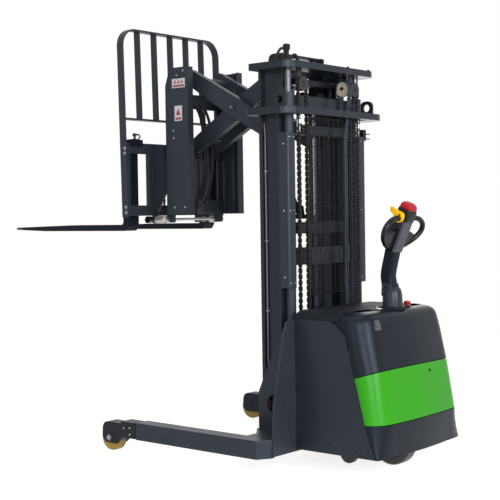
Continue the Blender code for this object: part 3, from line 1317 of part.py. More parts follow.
def backrest():
    """Load backrest of flat bars on edge: a bent outer bar, a low bar and upright slats."""
    half = REST_HALF_Y
    t = REST_T
    back, front = REST_BACK_X, REST_BACK_X + REST_DEPTH
    bend = REST_CORNER_R
    strip = [
        (-half, REST_BOTTOM), (-half, REST_TOP, bend), (half, REST_TOP, bend), (half, REST_BOTTOM),
        (half - t, REST_BOTTOM), (half - t, REST_TOP - t, bend - t), (-half + t, REST_TOP - t, bend - t),
        (-half + t, REST_BOTTOM)]
    frame = plate(strip, "X", back, front, steps=8)
    inset = 0.001
    bars = [box((back + inset, -half + t / 2, REST_SLAT_LOW - t / 2),
                (front - inset, half - t / 2, REST_SLAT_LOW + t / 2))]
    for k in range(REST_SLATS):
        y = -half + t / 2 + (2 * half - t) * (k + 1) / (REST_SLATS + 1)
        bars.append(box((back + 2 * inset, y - t / 2, REST_SLAT_LOW), (front - 2 * inset, y + t / 2, REST_TOP - t / 2)))
    fuse(frame, *bars)
    foot = Matrix.Translation((back, 0, REST_BOTTOM))
    frame.data.transform(foot @ Matrix.Rotation(radians(REST_LEAN), 4, "Y") @ foot.inverted())
    return frame


def fork(sign):
    back = BAR_FRONT_X + SEAT
    front = back + FORK_T
    tip = front + FORK_LENGTH
    hook_top = BAR_HIGH[1] + 0.020
    corners = [
        (back, FORK_UNDER + 0.03, 0.015), (back + 0.02, FORK_UNDER, 0.02), (tip - 0.30, FORK_UNDER),
        (tip, FORK_UNDER + 0.010, 0.003), (tip, FORK_UNDER + 0.010 + FORK_TIP_T, 0.005),
        (tip - 0.55, FORK_UNDER + FORK_T), (front, FORK_UNDER + FORK_T, 0.02), (front, hook_top, 0.008),
        (BAR_BACK_X - 0.014, hook_top, 0.006), (BAR_BACK_X - 0.014, BAR_HIGH[1] - 0.018),
        (BAR_BACK_X - SEAT, BAR_HIGH[1] - 0.018), (BAR_BACK_X - SEAT, BAR_HIGH[1] + SEAT),
        (back, BAR_HIGH[1] + SEAT)]
    y = sign * FORK_Y
    blade = plate(corners, "Y", y - FORK_W / 2, y + FORK_W / 2)
    trims = []
    for side in (1, -1):
        edge = y + side * FORK_W / 2
        trims.append(plate(
            [(tip - 0.09, edge), (tip + 0.02, edge - side * 0.030), (tip + 0.02, edge + side * 0.02),
             (tip - 0.09, edge + side * 0.02)], "Z", FORK_UNDER - 0.1, FORK_UNDER + 0.1))
    return cut(blade, *trims)


def build():
    make_pivots()
    both_sides(straddle_leg, "leg", "frame paint", ("truck", "truck"))
    both_sides(wheel_housing, "wheel_housing", "black paint", ("truck", "truck"))
    both_sides(load_wheel, "load_wheel", "polyurethane", ("load_axle_left", "load_axle_right"))
    finish(cross_member(), "cross_member", "frame paint", "truck")
    finish(bulkhead_plate(), "bulkhead_plate", "frame paint", "truck")
    both_sides(side_panel, "side_panel", "frame paint", ("truck", "truck"))
    finish(chassis_floor(), "chassis_floor", "black paint", "truck")
    finish(battery(), "battery", "battery case", "truck")
    finish(hood_shell(0, 1), "hood_skirt", "hood paint", "truck")
    finish(hood_shell(2, 3), "hood_band", "green paint", "truck")
    finish(hood_cover(), "hood_cover", "hood paint", "truck")
    finish(deck_lid(), "deck_lid", "hood paint", "truck")
    finish(emergency_stop(), "emergency_stop", "red plastic", "truck")
    both_sides(caster_fork, "caster_fork", "zinc", ("caster_swivel_left", "caster_swivel_right"))
    both_sides(caster_wheel, "caster_wheel", "polyurethane", ("caster_axle_left", "caster_axle_right"))
    finish(drive_wheel(), "drive_wheel", "polyurethane", "drive_axle")
    finish(drive_unit(), "drive_unit", "cast iron", "steer")
    finish(tiller_base(), "tiller_base", "frame paint", "steer")
    finish(tiller_arm(), "tiller_arm", "frame paint", "tiller_tilt")
    finish(tiller_head(), "tiller_head", "grey plastic", "tiller_tilt")
    finish(tiller_grips(), "tiller_grips", "black plastic", "tiller_tilt")
    finish(tiller_knobs(), "tiller_knobs", "yellow plastic", "tiller_tilt")
    finish(belly_button(), "belly_button", "red plastic", "tiller_tilt")
    finish(mast_outer(), "mast_outer", "frame paint", "truck")
    both_sides(lift_barrel, "lift_barrel", "frame paint", ("truck", "truck"))
    both_sides(cylinder_cover, "cylinder_cover", "frame paint", ("truck", "truck"))
    finish(mast_guard(), "mast_guard", "black paint", "truck")
    finish(mast_middle(), "mast_middle", "frame paint", "mast_middle")
    both_sides(lift_rod, "lift_rod", "chrome", ("mast_middle", "mast_middle"))
    both_sides(lift_chain, "lift_chain", "chain steel", ("mast_middle", "mast_middle"))
    finish(hose_pulley(), "hose_pulley", "zinc", "mast_middle")
    finish(mast_inner(), "mast_inner", "frame paint", "mast_inner")
    finish(free_lift_barrel(), "free_lift_barrel", "black paint", "mast_inner")
    finish(free_lift_rod(), "free_lift_rod", "chrome", "free_lift")
    finish(free_lift_head(), "free_lift_head", "chain steel", "free_lift")
    finish(mast_carriage(), "mast_carriage", "frame paint", "carriage")
    finish(scissor_arm_a(), "scissor_arm_a", "frame paint", "arm_a")
    finish(scissor_arm_b(), "scissor_arm_b", "frame paint", "arm_b")
    finish(reach_barrel(), "reach_barrel", "black paint", "reach_cylinder")
    finish(reach_rod(), "reach_rod", "chrome", "reach_rod")
    finish(reach_frame(), "reach_frame", "frame paint", "reach")
    finish(fork_carriage(), "fork_carriage", "frame paint", "fork_tilt")
    finish(backrest(), "backrest", "frame paint", "fork_tilt")
    finish(fork(1), "fork_left", "fork paint", "fork_tilt")
    finish(fork(-1), "fork_right", "fork paint", "fork_tilt")
    finish(tilt_barrels(), "tilt_barrels", "zinc", "tilt_barrel")
    finish(tilt_rods(), "tilt_rods", "zinc", "tilt_rod")


clear_scene()
PARTS = new_collection("walkie_reach_truck")
build()
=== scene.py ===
"""Looks of the walkie reach truck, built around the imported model.

Row frame: +X towards the fork tips, +Y to the truck's left, +Z up, metres, floor at z = 0.
"""
import json
from math import cos, pi, radians, sin

import bmesh
import bpy
from mathutils import Matrix, Vector

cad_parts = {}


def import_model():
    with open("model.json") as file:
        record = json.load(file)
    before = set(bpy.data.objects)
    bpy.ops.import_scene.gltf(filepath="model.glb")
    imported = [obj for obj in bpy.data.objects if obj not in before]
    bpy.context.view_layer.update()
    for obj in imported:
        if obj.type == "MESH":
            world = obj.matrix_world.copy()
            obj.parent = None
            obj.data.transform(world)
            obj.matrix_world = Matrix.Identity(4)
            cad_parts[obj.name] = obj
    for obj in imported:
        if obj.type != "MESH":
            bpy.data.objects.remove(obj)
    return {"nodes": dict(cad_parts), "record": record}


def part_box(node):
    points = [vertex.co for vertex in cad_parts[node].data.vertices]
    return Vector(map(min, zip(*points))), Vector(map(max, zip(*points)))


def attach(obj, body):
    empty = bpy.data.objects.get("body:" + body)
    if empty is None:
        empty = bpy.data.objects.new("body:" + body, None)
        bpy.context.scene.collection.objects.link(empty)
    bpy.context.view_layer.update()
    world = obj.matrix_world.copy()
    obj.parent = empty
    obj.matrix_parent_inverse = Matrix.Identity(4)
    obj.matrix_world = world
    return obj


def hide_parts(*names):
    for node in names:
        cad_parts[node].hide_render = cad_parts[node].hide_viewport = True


# Camera of the photograph, in the row frame
CAMERA_PLACE = (-3.494, 4.861, 1.285)
CAMERA_YAW = 49.91
CAMERA_PITCH = 1.81
CAMERA_ROLL = 0.866
CAMERA_LENS = 81.5

# The truck's own frame has x = 0 at the cross member's rear face. The row frame is this far ahead
# of it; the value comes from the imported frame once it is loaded.
X_MIDDLE = 0.0

# Tints of the sheen on painted and on moulded surfaces
PAINT_SHEEN = (0.72, 0.84, 1.0, 1.0)
PLASTIC_SHEEN = (0.80, 0.88, 1.0, 1.0)


def low(node):
    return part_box(node)[0]


def high(node):
    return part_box(node)[1]


def add_object(name, data):
    made = bpy.data.objects.new(name, data)
    bpy.context.scene.collection.objects.link(made)
    return made


# Materials

def new_material(name):
    made = bpy.data.materials.new(name)
    made.use_nodes = True
    return made, made.node_tree, made.node_tree.nodes["Principled BSDF"]


def put(node, **values):
    """Sets inputs of a node; a space in an input's name is written as an underscore."""
    for name, value in values.items():
        node.inputs[name.replace("_", " ")].default_value = value


def link(tree, out_node, out_name, in_node, in_name):
    tree.links.new(out_node.outputs[out_name], in_node.inputs[in_name])


def noise(tree, scale, detail=3.0, rough=0.5, stretch=None):
    """Noise in the row frame, scale in lumps per metre."""
    place = tree.nodes.new("ShaderNodeTexCoord")
    made = tree.nodes.new("ShaderNodeTexNoise")
    put(made, Scale=scale, Detail=detail, Roughness=rough)
    if stretch:
        turn = tree.nodes.new("ShaderNodeMapping")
        put(turn, Scale=stretch)
        link(tree, place, "Object", turn, "Vector")
        link(tree, turn, "Vector", made, "Vector")
    else:
        link(tree, place, "Object", made, "Vector")
    return made


def ramp(tree, source, output, stops):
    """Colour ramp from (position, colour) stops."""
    made = tree.nodes.new("ShaderNodeValToRGB")
    band = made.color_ramp
    while len(band.elements) < len(stops):
        band.elements.new(0.5)
    for element, (place, colour) in zip(band.elements, stops):
        element.position = place
        element.color = (*colour, 1.0)
    link(tree, source, output, made, "Fac")
    return made


def span(tree, source, output, low_out, high_out):
    """Spreads the middle part of a noise over a range of values."""
    made = tree.nodes.new("ShaderNodeMapRange")
    put(made, From_Min=0.3, From_Max=0.7, To_Min=low_out, To_Max=high_out)
    link(tree, source, output, made, "Value")
    return made


def soft_edges(tree, radius):
    made = tree.nodes.new("ShaderNodeBevel")
    made.samples = 4
    put(made, Radius=radius)
    return made


def bump(tree, shader, source, height, edge):
    """Relief from a noise, its height in metres, over edges rounded to a radius."""
    made = tree.nodes.new("ShaderNodeBump")
    put(made, Distance=height, Strength=1.0)
    link(tree, source, "Fac", made, "Height")
    link(tree, soft_edges(tree, edge), "Normal", made, "Normal")
    link(tree, made, "Normal", shader, "Normal")


def edge_mask(tree, radius, low_in, high_in):
    """1 along outer edges: where the rounded normal leaves the flat one."""
    soft = soft_edges(tree, radius)
    flat = tree.nodes.new("ShaderNodeNewGeometry")
    dot = tree.nodes.new("ShaderNodeVectorMath")
    dot.operation = "DOT_PRODUCT"
    link(tree, soft, "Normal", dot, 0)
    link(tree, flat, "Normal", dot, 1)
    made = tree.nodes.new("ShaderNodeMapRange")
    put(made, From_Min=high_in, From_Max=low_in)
    link(tree, dot, "Value", made, "Value")
    return made


def paint(name, colour, rough, coat=0.0, level=0.24, peel=0.00006, edge=0.0022, variation=0.10):
    """Sprayed enamel: faint cloudiness, orange peel and lighter edges, partly rubbed wear and
    partly a painted highlight.
    """
    made, tree, shader = new_material(name)
    cloud = noise(tree, 3.0, 4.0)
    dark = [c * (1 - variation) for c in colour]
    light = [min(1.0, c * (1 + variation)) for c in colour]
    tone = ramp(tree, cloud, "Fac", [(0.3, dark), (0.7, light)])
    # Lighter outer edges: partly rubbed wear, partly a painted highlight along every edge
    edge_wear_and_highlight = edge_mask(tree, edge * 0.7, 0.80, 0.97)
    mix = tree.nodes.new("ShaderNodeMix")
    mix.data_type = "RGBA"
    wear_and_highlight_colour = tuple(min(1.0, c * 1.35 + 0.012) for c in colour)
    put(mix, B=(*wear_and_highlight_colour, 1.0))
    link(tree, tone, "Color", mix, "A")
    link(tree, edge_wear_and_highlight, "Result", mix, "Factor")
    link(tree, mix, "Result", shader, "Base Color")
    patch = noise(tree, 9.0, 5.0)
    gloss = span(tree, patch, "Fac", rough * 0.88, rough * 1.14)
    link(tree, gloss, "Result", shader, "Roughness")
    put(shader, Specular_IOR_Level=level, Specular_Tint=PAINT_SHEEN, Coat_Weight=coat,
        Coat_Roughness=0.12)
    bump(tree, shader, noise(tree, 420.0, 2.0), peel, edge)
    return made


def metal(name, colour, rough, brushed=(1, 1, 1)):
    """Bare or plated metal, stained in clouds and brushed along the axis of the least stretch."""
    made, tree, shader = new_material(name)
    put(shader, Metallic=1.0)
    cloud = noise(tree, 14.0, 5.0)
    dark = [c * 0.85 for c in colour]
    tone = ramp(tree, cloud, "Fac", [(0.32, dark), (0.66, colour)])
    link(tree, tone, "Color", shader, "Base Color")
    scratch = noise(tree, 60.0, 3.0, 0.6, brushed)
    gloss = span(tree, scratch, "Fac", rough * 0.75, rough * 1.35)
    link(tree, gloss, "Result", shader, "Roughness")
    bump(tree, shader, scratch, 0.00004, 0.0010)
    return made


def plastic(name, colour, rough, grain_height=0.00008, grain_scale=650.0, edge=0.0012):
    """Moulded plastic with a fine texture."""
    made, tree, shader = new_material(name)
    cloud = noise(tree, 8.0, 3.0)
    dark = [c * 0.9 for c in colour]
    light = [min(1.0, c * 1.08) for c in colour]
    tone = ramp(tree, cloud, "Fac", [(0.3, dark), (0.7, light)])
    link(tree, tone, "Color", shader, "Base Color")
    put(shader, Specular_IOR_Level=0.24, Specular_Tint=PLASTIC_SHEEN)
    grain = noise(tree, grain_scale, 2.0)
    gloss = span(tree, grain, "Fac", rough * 0.9, rough * 1.1)
    link(tree, gloss, "Result", shader, "Roughness")
    bump(tree, shader, grain, grain_height, edge)
    return made


def polyurethane(name, colour):
    """Cast tyre: waxy, a little translucent, scuffed on the tread."""
    made, tree, shader = new_material(name)
    cloud = noise(tree, 22.0, 4.0)
    tone = ramp(tree, cloud, "Fac", [(0.3, [c * 0.8 for c in colour]), (0.7, colour)])
    link(tree, tone, "Color", shader, "Base Color")
    put(shader, Roughness=0.42, Subsurface_Weight=0.15, Subsurface_Radius=(0.01, 0.006, 0.002))
    bump(tree, shader, noise(tree, 160.0, 3.0), 0.0001, 0.0015)
    return made


PAINTS = {
    # colour, roughness, coat, specular level, orange peel, edge radius, cloudiness
    "frame_paint": ((0.022, 0.026, 0.034), 0.40, 0.05),
    "hood_paint": ((0.006, 0.008, 0.012), 0.33, 0.0, 0.17, 0.00003, 0.0015),
    "green_paint": ((0.028, 0.270, 0.004), 0.30, 0.05, 0.16, 0.00003, 0.0015, 0.05),
    "black_paint": ((0.004, 0.004, 0.006), 0.42),
    "fork_paint": ((0.005, 0.007, 0.011), 0.42, 0.0, 0.12),
    "mast_paint": ((0.011, 0.014, 0.019), 0.30, 0.075),
    # Inner mast stages: the mast paint made darker, a painted shade for the shaded inside of the
    # mast
    "mast_inner_paint": ((0.002, 0.003, 0.005), 0.34, 0.05),
    "panel_paint": ((0.014, 0.017, 0.023), 0.42, 0.05),
    "deck_paint": ((0.012, 0.014, 0.018), 0.55, 0.0, 0.06),
}
METALS = {
    # colour, roughness, stretch of the brushing
    "black_oxide": ((0.030, 0.030, 0.032), 0.42),
    "chrome": ((0.075, 0.08, 0.09), 0.20, (1, 1, 0.1)),
    "zinc": ((0.46, 0.46, 0.43), 0.34, (0.1, 1, 1)),
    "bolt_zinc": ((0.30, 0.31, 0.32), 0.36),
    "chain_steel": ((0.046, 0.046, 0.048), 0.38),
}
PLASTICS = {
    # colour, roughness, grain height, grain scale, edge radius
    "black_plastic": ((0.004, 0.004, 0.005), 0.30),
    "glossy_black": ((0.006, 0.006, 0.007), 0.12, 0.00002),
    "boot_plastic": ((0.016, 0.019, 0.025), 0.28),
    "rubber": ((0.004, 0.004, 0.005), 0.50, 0.00012, 320.0, 0.0006),
    "hose_blue_black": ((0.018, 0.028, 0.045), 0.22, 0.00005, 320.0, 0.0006),
    "cable_grey": ((0.200, 0.150, 0.160), 0.50, 0.00005, 320.0, 0.0004),
    "cream_plastic": ((0.400, 0.350, 0.250), 0.42),
    "grey_plastic": ((0.060, 0.065, 0.072), 0.55, 0.0004, 260.0),
    "yellow_plastic": ((0.850, 0.470, 0.006), 0.35),
    "red_plastic": ((0.320, 0.008, 0.012), 0.35),
    "label_white": ((0.620, 0.540, 0.560), 0.40, 0.00002),
    "label_red": ((0.300, 0.060, 0.080), 0.40, 0.00002),
    "battery_case": ((0.025, 0.027, 0.030), 0.55),
    "cast_iron": ((0.030, 0.031, 0.034), 0.50, 0.0004, 240.0),
}
TYRES = {
    "polyurethane": ((0.440, 0.280, 0.035),),
    # Painted shade: a darkened tyre that sinks into the shadow under the truck
    "dark_tyre": ((0.030, 0.028, 0.026),),
}

# Nodes whose finish isn't the plain one of their slot
OWN_FINISH = {
    "mast_outer": "mast_paint", "mast_middle": "mast_paint",
    # The inner mast, its carriage and the free lift barrel take the darker painted shade copy of
    # the mast paint
    "mast_inner": "mast_inner_paint", "mast_carriage": "mast_inner_paint",
    "free_lift_barrel": "mast_inner_paint",
    "side_panel_left": "panel_paint", "side_panel_right": "panel_paint",
    # Drive and caster tyres take the darkened tyre, painted shade for the shadow they sit in
    "drive_wheel": "dark_tyre", "caster_wheel_left": "dark_tyre", "caster_wheel_right": "dark_tyre",
    "tilt_rods": "chrome"}


def make_materials():
    made = {}
    for maker, table in ((paint, PAINTS), (metal, METALS), (plastic, PLASTICS),
                         (polyurethane, TYRES)):
        for name, values in table.items():
            made[name] = maker(name, *values)
    return made


def dress(nodes, record, finishes):
    """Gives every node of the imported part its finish."""
    for part in record["subparts"]:
        obj = nodes[part["node"]]
        obj.data.materials.clear()
        obj.data.materials.append(finishes[OWN_FINISH.get(part["node"], part["material_slot"])])


# Shapes

SINK = 0.001            # how far a screw's head reaches into what carries it


class Shape:
    """One mesh built up from simple closed forms, in the truck's own frame."""

    def __init__(self):
        self.bm = bmesh.new()

    def prism(self, outline, axis, start, end):
        """Closed outline of two coordinates, pushed along the third axis."""
        order = {"X": (1, 2, 0), "Y": (0, 2, 1), "Z": (0, 1, 2)}[axis]
        rings = []
        for level in (start, end):
            ring = []
            for a, b in outline:
                place = [0.0, 0.0, 0.0]
                place[order[0]], place[order[1]], place[order[2]] = a, b, level
                ring.append(self.bm.verts.new(place))
            rings.append(ring)
        count = len(outline)
        made = [self.bm.faces.new(rings[0]), self.bm.faces.new(rings[1][::-1])]
        for k in range(count):
            made.append(self.bm.faces.new(
                (rings[0][k], rings[1][k], rings[1][(k + 1) % count], rings[0][(k + 1) % count])))
        bmesh.ops.recalc_face_normals(self.bm, faces=made)
        return self

    def block(self, low_corner, high_corner):
        (x0, y0, z0), (x1, y1, z1) = low_corner, high_corner
        return self.prism(rectangle(x0, y0, x1, y1), "Z", z0, z1)

    def turned(self, profile, foot, way, sides=24):
        """Profile of (height, radius) pairs turned about the line from foot along way."""
        turn = Vector(way).to_track_quat("Z", "Y").to_matrix()
        foot = Vector(foot)
        rings = []
        for height, radius in profile:
            if radius <= 0:
                rings.append([self.bm.verts.new(foot + turn @ Vector((0, 0, height)))])
                continue
            rings.append([
                self.bm.verts.new(foot + turn @ Vector((
                    radius * cos(2 * pi * k / sides), radius * sin(2 * pi * k / sides), height)))
                for k in range(sides)])
        made = []
        for a, b in zip(rings, rings[1:]):
            for k in range(sides):
                n = (k + 1) % sides
                if len(a) == 1:
                    made.append(self.bm.faces.new((a[0], b[k], b[n])))
                elif len(b) == 1:
                    made.append(self.bm.faces.new((a[k], b[0], a[n])))
                else:
                    made.append(self.bm.faces.new((a[k], b[k], b[n], a[n])))
        for ring in (rings[0], rings[-1]):
            if len(ring) > 1:
                made.append(self.bm.faces.new(ring))
        bmesh.ops.recalc_face_normals(self.bm, faces=made)
        return self

    def rod(self, start, end, radius, sides=20, chamfer=0.0):
        """Round bar between two points."""
        way = Vector(end) - Vector(start)
        c = min(chamfer, radius * 0.4)
        if c > 0:
            profile = [(0, radius - c), (c, radius), (way.length - c, radius),
                       (way.length, radius - c)]
        else:
            profile = [(0, radius), (way.length, radius)]
        return self.turned(profile, start, way, sides)

    def bolt(self, place, way, across):
        """Hexagon head with its washer, seated at place."""
        radius = across * 0.577
        seat = across * 0.13
        head = across * 0.5
        self.turned([(-SINK, across * 0.82), (seat, across * 0.82)], place, way, 18)
        self.turned([(seat, radius), (seat + head * 0.75, radius), (seat + head, radius * 0.82)],
                    place, way, 6)
        return self

    def cap_screw(self, place, way, radius):
        """Round head with its socket, seated at place."""
        return self.turned([
            (-SINK, radius), (radius * 0.5, radius), (radius * 0.75, radius * 0.8),
            (radius * 0.75, radius * 0.45), (radius * 0.25, radius * 0.4)], place, way, 14)

    def tube(self, points, radius, sides=10, smooth=6):
        """Round bar or hose swept along a smoothed path."""
        path = smoothed([Vector(p) for p in points], smooth)
        ways = tangents(path)
        side = ways[0].orthogonal().normalized()
        rings = []
        for place, way in zip(path, ways):
            side = (side - way * side.dot(way)).normalized()
            other = way.cross(side)
            rings.append([
                self.bm.verts.new(place + radius * (
                    side * cos(2 * pi * n / sides) + other * sin(2 * pi * n / sides)))
                for n in range(sides)])
        made = [self.bm.faces.new(rings[0]), self.bm.faces.new(rings[-1])]
        for a, b in zip(rings, rings[1:]):
            for n in range(sides):
                m = (n + 1) % sides
                made.append(self.bm.faces.new((a[n], a[m], b[m], b[n])))
        bmesh.ops.recalc_face_normals(self.bm, faces=made)
        return self

    def grid(self, rows, closed=False):
        """Surface through rows of points."""
        rings = [[self.bm.verts.new(p) for p in row] for row in rows]
        made = []
        for a, b in zip(rings, rings[1:]):
            last = len(a) if closed else len(a) - 1
            for k in range(last):
                n = (k + 1) % len(a)
                made.append(self.bm.faces.new((a[k], a[n], b[n], b[k])))
        bmesh.ops.recalc_face_normals(self.bm, faces=made)
        return rings

    def loft(self, rows):
        """Closed body through rings of points."""
        rings = self.grid(rows, closed=True)
        self.bm.faces.new(rings[0])
        self.bm.faces.new(rings[-1])
        bmesh.ops.recalc_face_normals(self.bm, faces=self.bm.faces)
        return self

    def mirror(self):
        """Adds the same form on the truck's other side."""
        whole = self.bm.verts[:] + self.bm.edges[:] + self.bm.faces[:]
        found = bmesh.ops.duplicate(self.bm, geom=whole)
        verts = [v for v in found["geom"] if isinstance(v, bmesh.types.BMVert)]
        faces = [f for f in found["geom"] if isinstance(f, bmesh.types.BMFace)]
        bmesh.ops.scale(self.bm, vec=(1, -1, 1), verts=verts)
        bmesh.ops.reverse_faces(self.bm, faces=faces)
        return self

    def turn(self, matrix):
        bmesh.ops.transform(self.bm, matrix=matrix, verts=self.bm.verts[:])
        return self

    def done(self, name, finish, body, stands_for=(), angle=38.0):
        """Makes the piece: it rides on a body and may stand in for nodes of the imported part."""
        mesh = bpy.data.meshes.new(name)
        bmesh.ops.translate(self.bm, vec=(-X_MIDDLE, 0, 0), verts=self.bm.verts[:])
        self.bm.to_mesh(mesh)
        self.bm.free()
        mesh.shade_smooth()
        mesh.set_sharp_from_angle(angle=radians(angle))
        obj = add_object(name, mesh)
        obj.data.materials.append(finishes[finish])
        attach(obj, body)
        if stands_for:
            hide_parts(*stands_for)
        return obj


def smoothed(points, steps, closed=False):
    """Catmull-Rom path through points."""
    if steps <= 1 or len(points) < 3:
        return points
    count = len(points)
    out = []
    for k in range(count if closed else count - 1):
        p0 = points[k - 1] if closed or k > 0 else points[0]
        p1 = points[k]
        p2 = points[(k + 1) % count]
        p3 = points[(k + 2) % count] if closed or k + 2 < count else points[-1]
        for s in range(steps):
            t = s / steps
            out.append(0.5 * (
                2 * p1 + (p2 - p0) * t + (2 * p0 - 5 * p1 + 4 * p2 - p3) * t * t
                + (3 * p1 - p0 - 3 * p2 + p3) * t * t * t))
    if not closed:
        out.append(points[-1])
    return out


def tangents(path):
    last = len(path) - 1
    return [(path[min(k + 1, last)] - path[max(k - 1, 0)]).normalized() for k in range(last + 1)]


def rectangle(a0, b0, a1, b1):
    return [(a0, b0), (a1, b0), (a1, b1), (a0, b1)]


def rounded(corners, radius, steps=4):
    """Outline with each corner turned into an arc."""
    out = []
    count = len(corners)
    for k in range(count):
        here = Vector(corners[k])
        before = (Vector(corners[k - 1]) - here)
        after = (Vector(corners[(k + 1) % count]) - here)
        reach = min(radius, before.length * 0.45, after.length * 0.45)
        a = here + before.normalized() * reach
        b = here + after.normalized() * reach
        for s in range(steps + 1):
            t = s / steps
            out.append(tuple(a * (1 - t) ** 2 + here * (2 * t * (1 - t)) + b * t * t))
    return out


CHAIN_PITCH = 0.0155
CHAIN_PLATES = 5


def leaf_chain(shape, x, y, bottom, top, width, across):
    """Upright leaf chain: side by side link plates on pins that run along the given axis."""
    thick = width / CHAIN_PLATES * 0.8
    reach = width / 2 + 0.001
    half_tall = CHAIN_PITCH * 0.74
    half_deep = CHAIN_PITCH * 0.30
    plate = [(-half_deep, -half_tall * 0.6), (0, -half_tall), (half_deep, -half_tall * 0.6),
             (half_deep, half_tall * 0.6), (0, half_tall), (-half_deep, half_tall * 0.6)]
    for k in range(int((top - bottom) / CHAIN_PITCH)):
        pin = bottom + k * CHAIN_PITCH
        middle = pin + CHAIN_PITCH / 2
        for n in (0, 2, 4) if k % 2 == 0 else (1, 3):
            at = -width / 2 + (n + 0.5) * width / CHAIN_PLATES
            start, end = at - thick / 2, at + thick / 2
            if across == "X":
                shape.prism([(y + a, middle + b) for a, b in plate], "X", x + start, x + end)
            else:
                shape.prism([(x + a, middle + b) for a, b in plate], "Y", y + start, y + end)
        if across == "X":
            shape.rod((x - reach, y, pin), (x + reach, y, pin), CHAIN_PITCH * 0.19, 6)
        else:
            shape.rod((x, y - reach, pin), (x, y + reach, pin), CHAIN_PITCH * 0.19, 6)


# Body panels

HOOD_ROWS = [
    # z, rear x, side tuck, corner radius, forward edge x, fall towards the front
    (0.1000, -0.525, 0.000, 0.140, -0.4915, 0.000),
    (0.2600, -0.533, 0.000, 0.120, -0.4290, 0.020),
    (0.2640, -0.533, 0.000, 0.120, -0.4280, 0.020),
    (0.5200, -0.490, 0.000, 0.115, -0.3720, 0.316),
    (0.5240, -0.489, 0.000, 0.115, -0.3715, 0.316),
    (0.6400, -0.463, 0.000, 0.120, -0.3385, 0.100),
    (0.6900, -0.452, 0.001, 0.120, -0.3235, 0.030),
    (0.7280, -0.443, 0.005, 0.118, -0.2950, 0.000),
    (0.7570, -0.434, 0.009, 0.115, -0.2850, 0.000),
    (0.7750, -0.423, 0.019, 0.110, -0.2850, 0.000),
    (0.7890, -0.403, 0.040, 0.100, -0.2850, 0.000),
    (0.7970, -0.372, 0.081, 0.080, -0.2850, 0.000),
]


SHEET = 0.004           # wall of the hood's panels
HOOD_BOW = 0.012        # how far the rear face bulges between its corners
HOOD_RUN = 0.016        # straight side kept ahead of each corner
HOOD_ARC = 12           # steps round a corner
HOOD_BACK = 5           # steps from a corner to the middle of the rear face


def hood_ring(row, inset=0.0):
    """Level line of the hood from its left forward edge round the rear to the right one."""
    z, rear, tuck, corner, front, fall = row
    rear += inset
    half = high("side_panel_left").y - tuck - inset
    depth = min(corner, front - rear - HOOD_RUN)
    middle_x = rear + HOOD_BOW + depth
    middle_y = half - corner
    line = [(front, half)]
    for k in range(HOOD_ARC + 1):
        turn = pi / 2 * k / HOOD_ARC
        line.append((middle_x - depth * sin(turn), middle_y + corner * cos(turn)))
    for k in range(1, HOOD_BACK + 1):
        y = middle_y * (1 - k / HOOD_BACK)
        line.append((rear + HOOD_BOW * (y / middle_y) ** 2, y))
    line = [(x, y, z - fall * max(0.0, x - rear)) for x, y in line]
    return line + [(x, -y, h) for x, y, h in reversed(line[:-1])]


def blended_rows(rows, steps):
    """Rows with smoothly run values between them."""
    count = len(rows)
    out = []
    for k in range(count - 1):
        near = rows[max(k - 1, 0)], rows[k], rows[k + 1], rows[min(k + 2, count - 1)]
        for s in range(steps):
            t = s / steps
            row = []
            for a, b, c, d in zip(*near):
                value = 0.5 * (2 * b + (c - a) * t + (2 * a - 5 * b + 4 * c - d) * t * t
                               + (3 * b - a - 3 * c + d) * t ** 3)
                row.append(min(max(value, min(b, c)), max(b, c)))
            out.append(tuple(row))
    out.append(rows[-1])
    return out


def shell(rows, crown=False):
    """Panel lofted through rows, with its inner face a sheet's thickness inside."""
    made = Shape()
    outside = made.grid([hood_ring(row) for row in rows])
    inside = made.grid([hood_ring(row, SHEET) for row in rows])
    for ring_out, ring_in in ((outside[0], inside[0]), (outside[-1], inside[-1])):
        if crown and ring_out is outside[-1]:
            continue
        for k in range(len(ring_out) - 1):
            made.bm.faces.new((ring_out[k], ring_out[k + 1], ring_in[k + 1], ring_in[k]))
    for (out0, out1), (in0, in1) in zip(zip(outside, outside[1:]), zip(inside, inside[1:])):
        for side in (0, -1):
            made.bm.faces.new((out0[side], out1[side], in1[side], in0[side]))
    if crown:
        for ring in (outside[-1], inside[-1]):
            count = len(ring)
            for k in range(count // 2):
                a, b, c, d = ring[k], ring[k + 1], ring[count - k - 2], ring[count - k - 1]
                if b is c:
                    made.bm.faces.new((a, b, d))
                else:
                    made.bm.faces.new((a, b, c, d))
    bmesh.ops.recalc_face_normals(made.bm, faces=made.bm.faces)
    return made


LID_EDGE_Z = 0.7545     # lower edge of the lid's folded sides
SEAM_OUTLINE = [(-0.340, 0.560), (-0.235, 0.560), (-0.235, 0.750), (-0.322, 0.750)]


def hood():
    shell(blended_rows(HOOD_ROWS[0:2], 6)).done(
        "hood_skirt_panel", "hood_paint", "chassis", ["hood_skirt"], 50)
    shell(blended_rows(HOOD_ROWS[2:4], 8)).done(
        "hood_band_panel", "green_paint", "chassis", ["hood_band"], 50)
    shell(blended_rows(HOOD_ROWS[4:], 4), crown=True).done(
        "hood_top_panel", "hood_paint", "chassis", ["hood_cover"], 50)
    half = high("side_panel_left").y
    top = high("deck_lid").z
    lid = Shape()
    bend = smoothed([Vector((half - tuck, z, 0)) for tuck, z in (
        (0, LID_EDGE_Z), (0.004, 0.764), (0.016, 0.776), (0.040, 0.789), (0.081, top),
        (0.150, top))], 4)
    edge = [(p.x, min(p.y, top)) for p in bend]
    whole = edge + [(-y, z) for y, z in reversed(edge)]
    under = [(y * 0.985, z - SHEET) for y, z in reversed(whole)]
    lid.prism(whole + under, "X", -0.281, -0.006)
    lid.prism(whole + [(-half, LID_EDGE_Z)], "X", -0.0075, -0.004)
    lid.done("deck_cover", "deck_paint", "chassis", ["deck_lid"], 50)
    seam = Shape()
    seam.prism(SEAM_OUTLINE, "Y", half - 0.0105, half - 0.0085)
    seam.mirror()
    seam.done("cover_seam_strips", "hood_paint", "chassis")


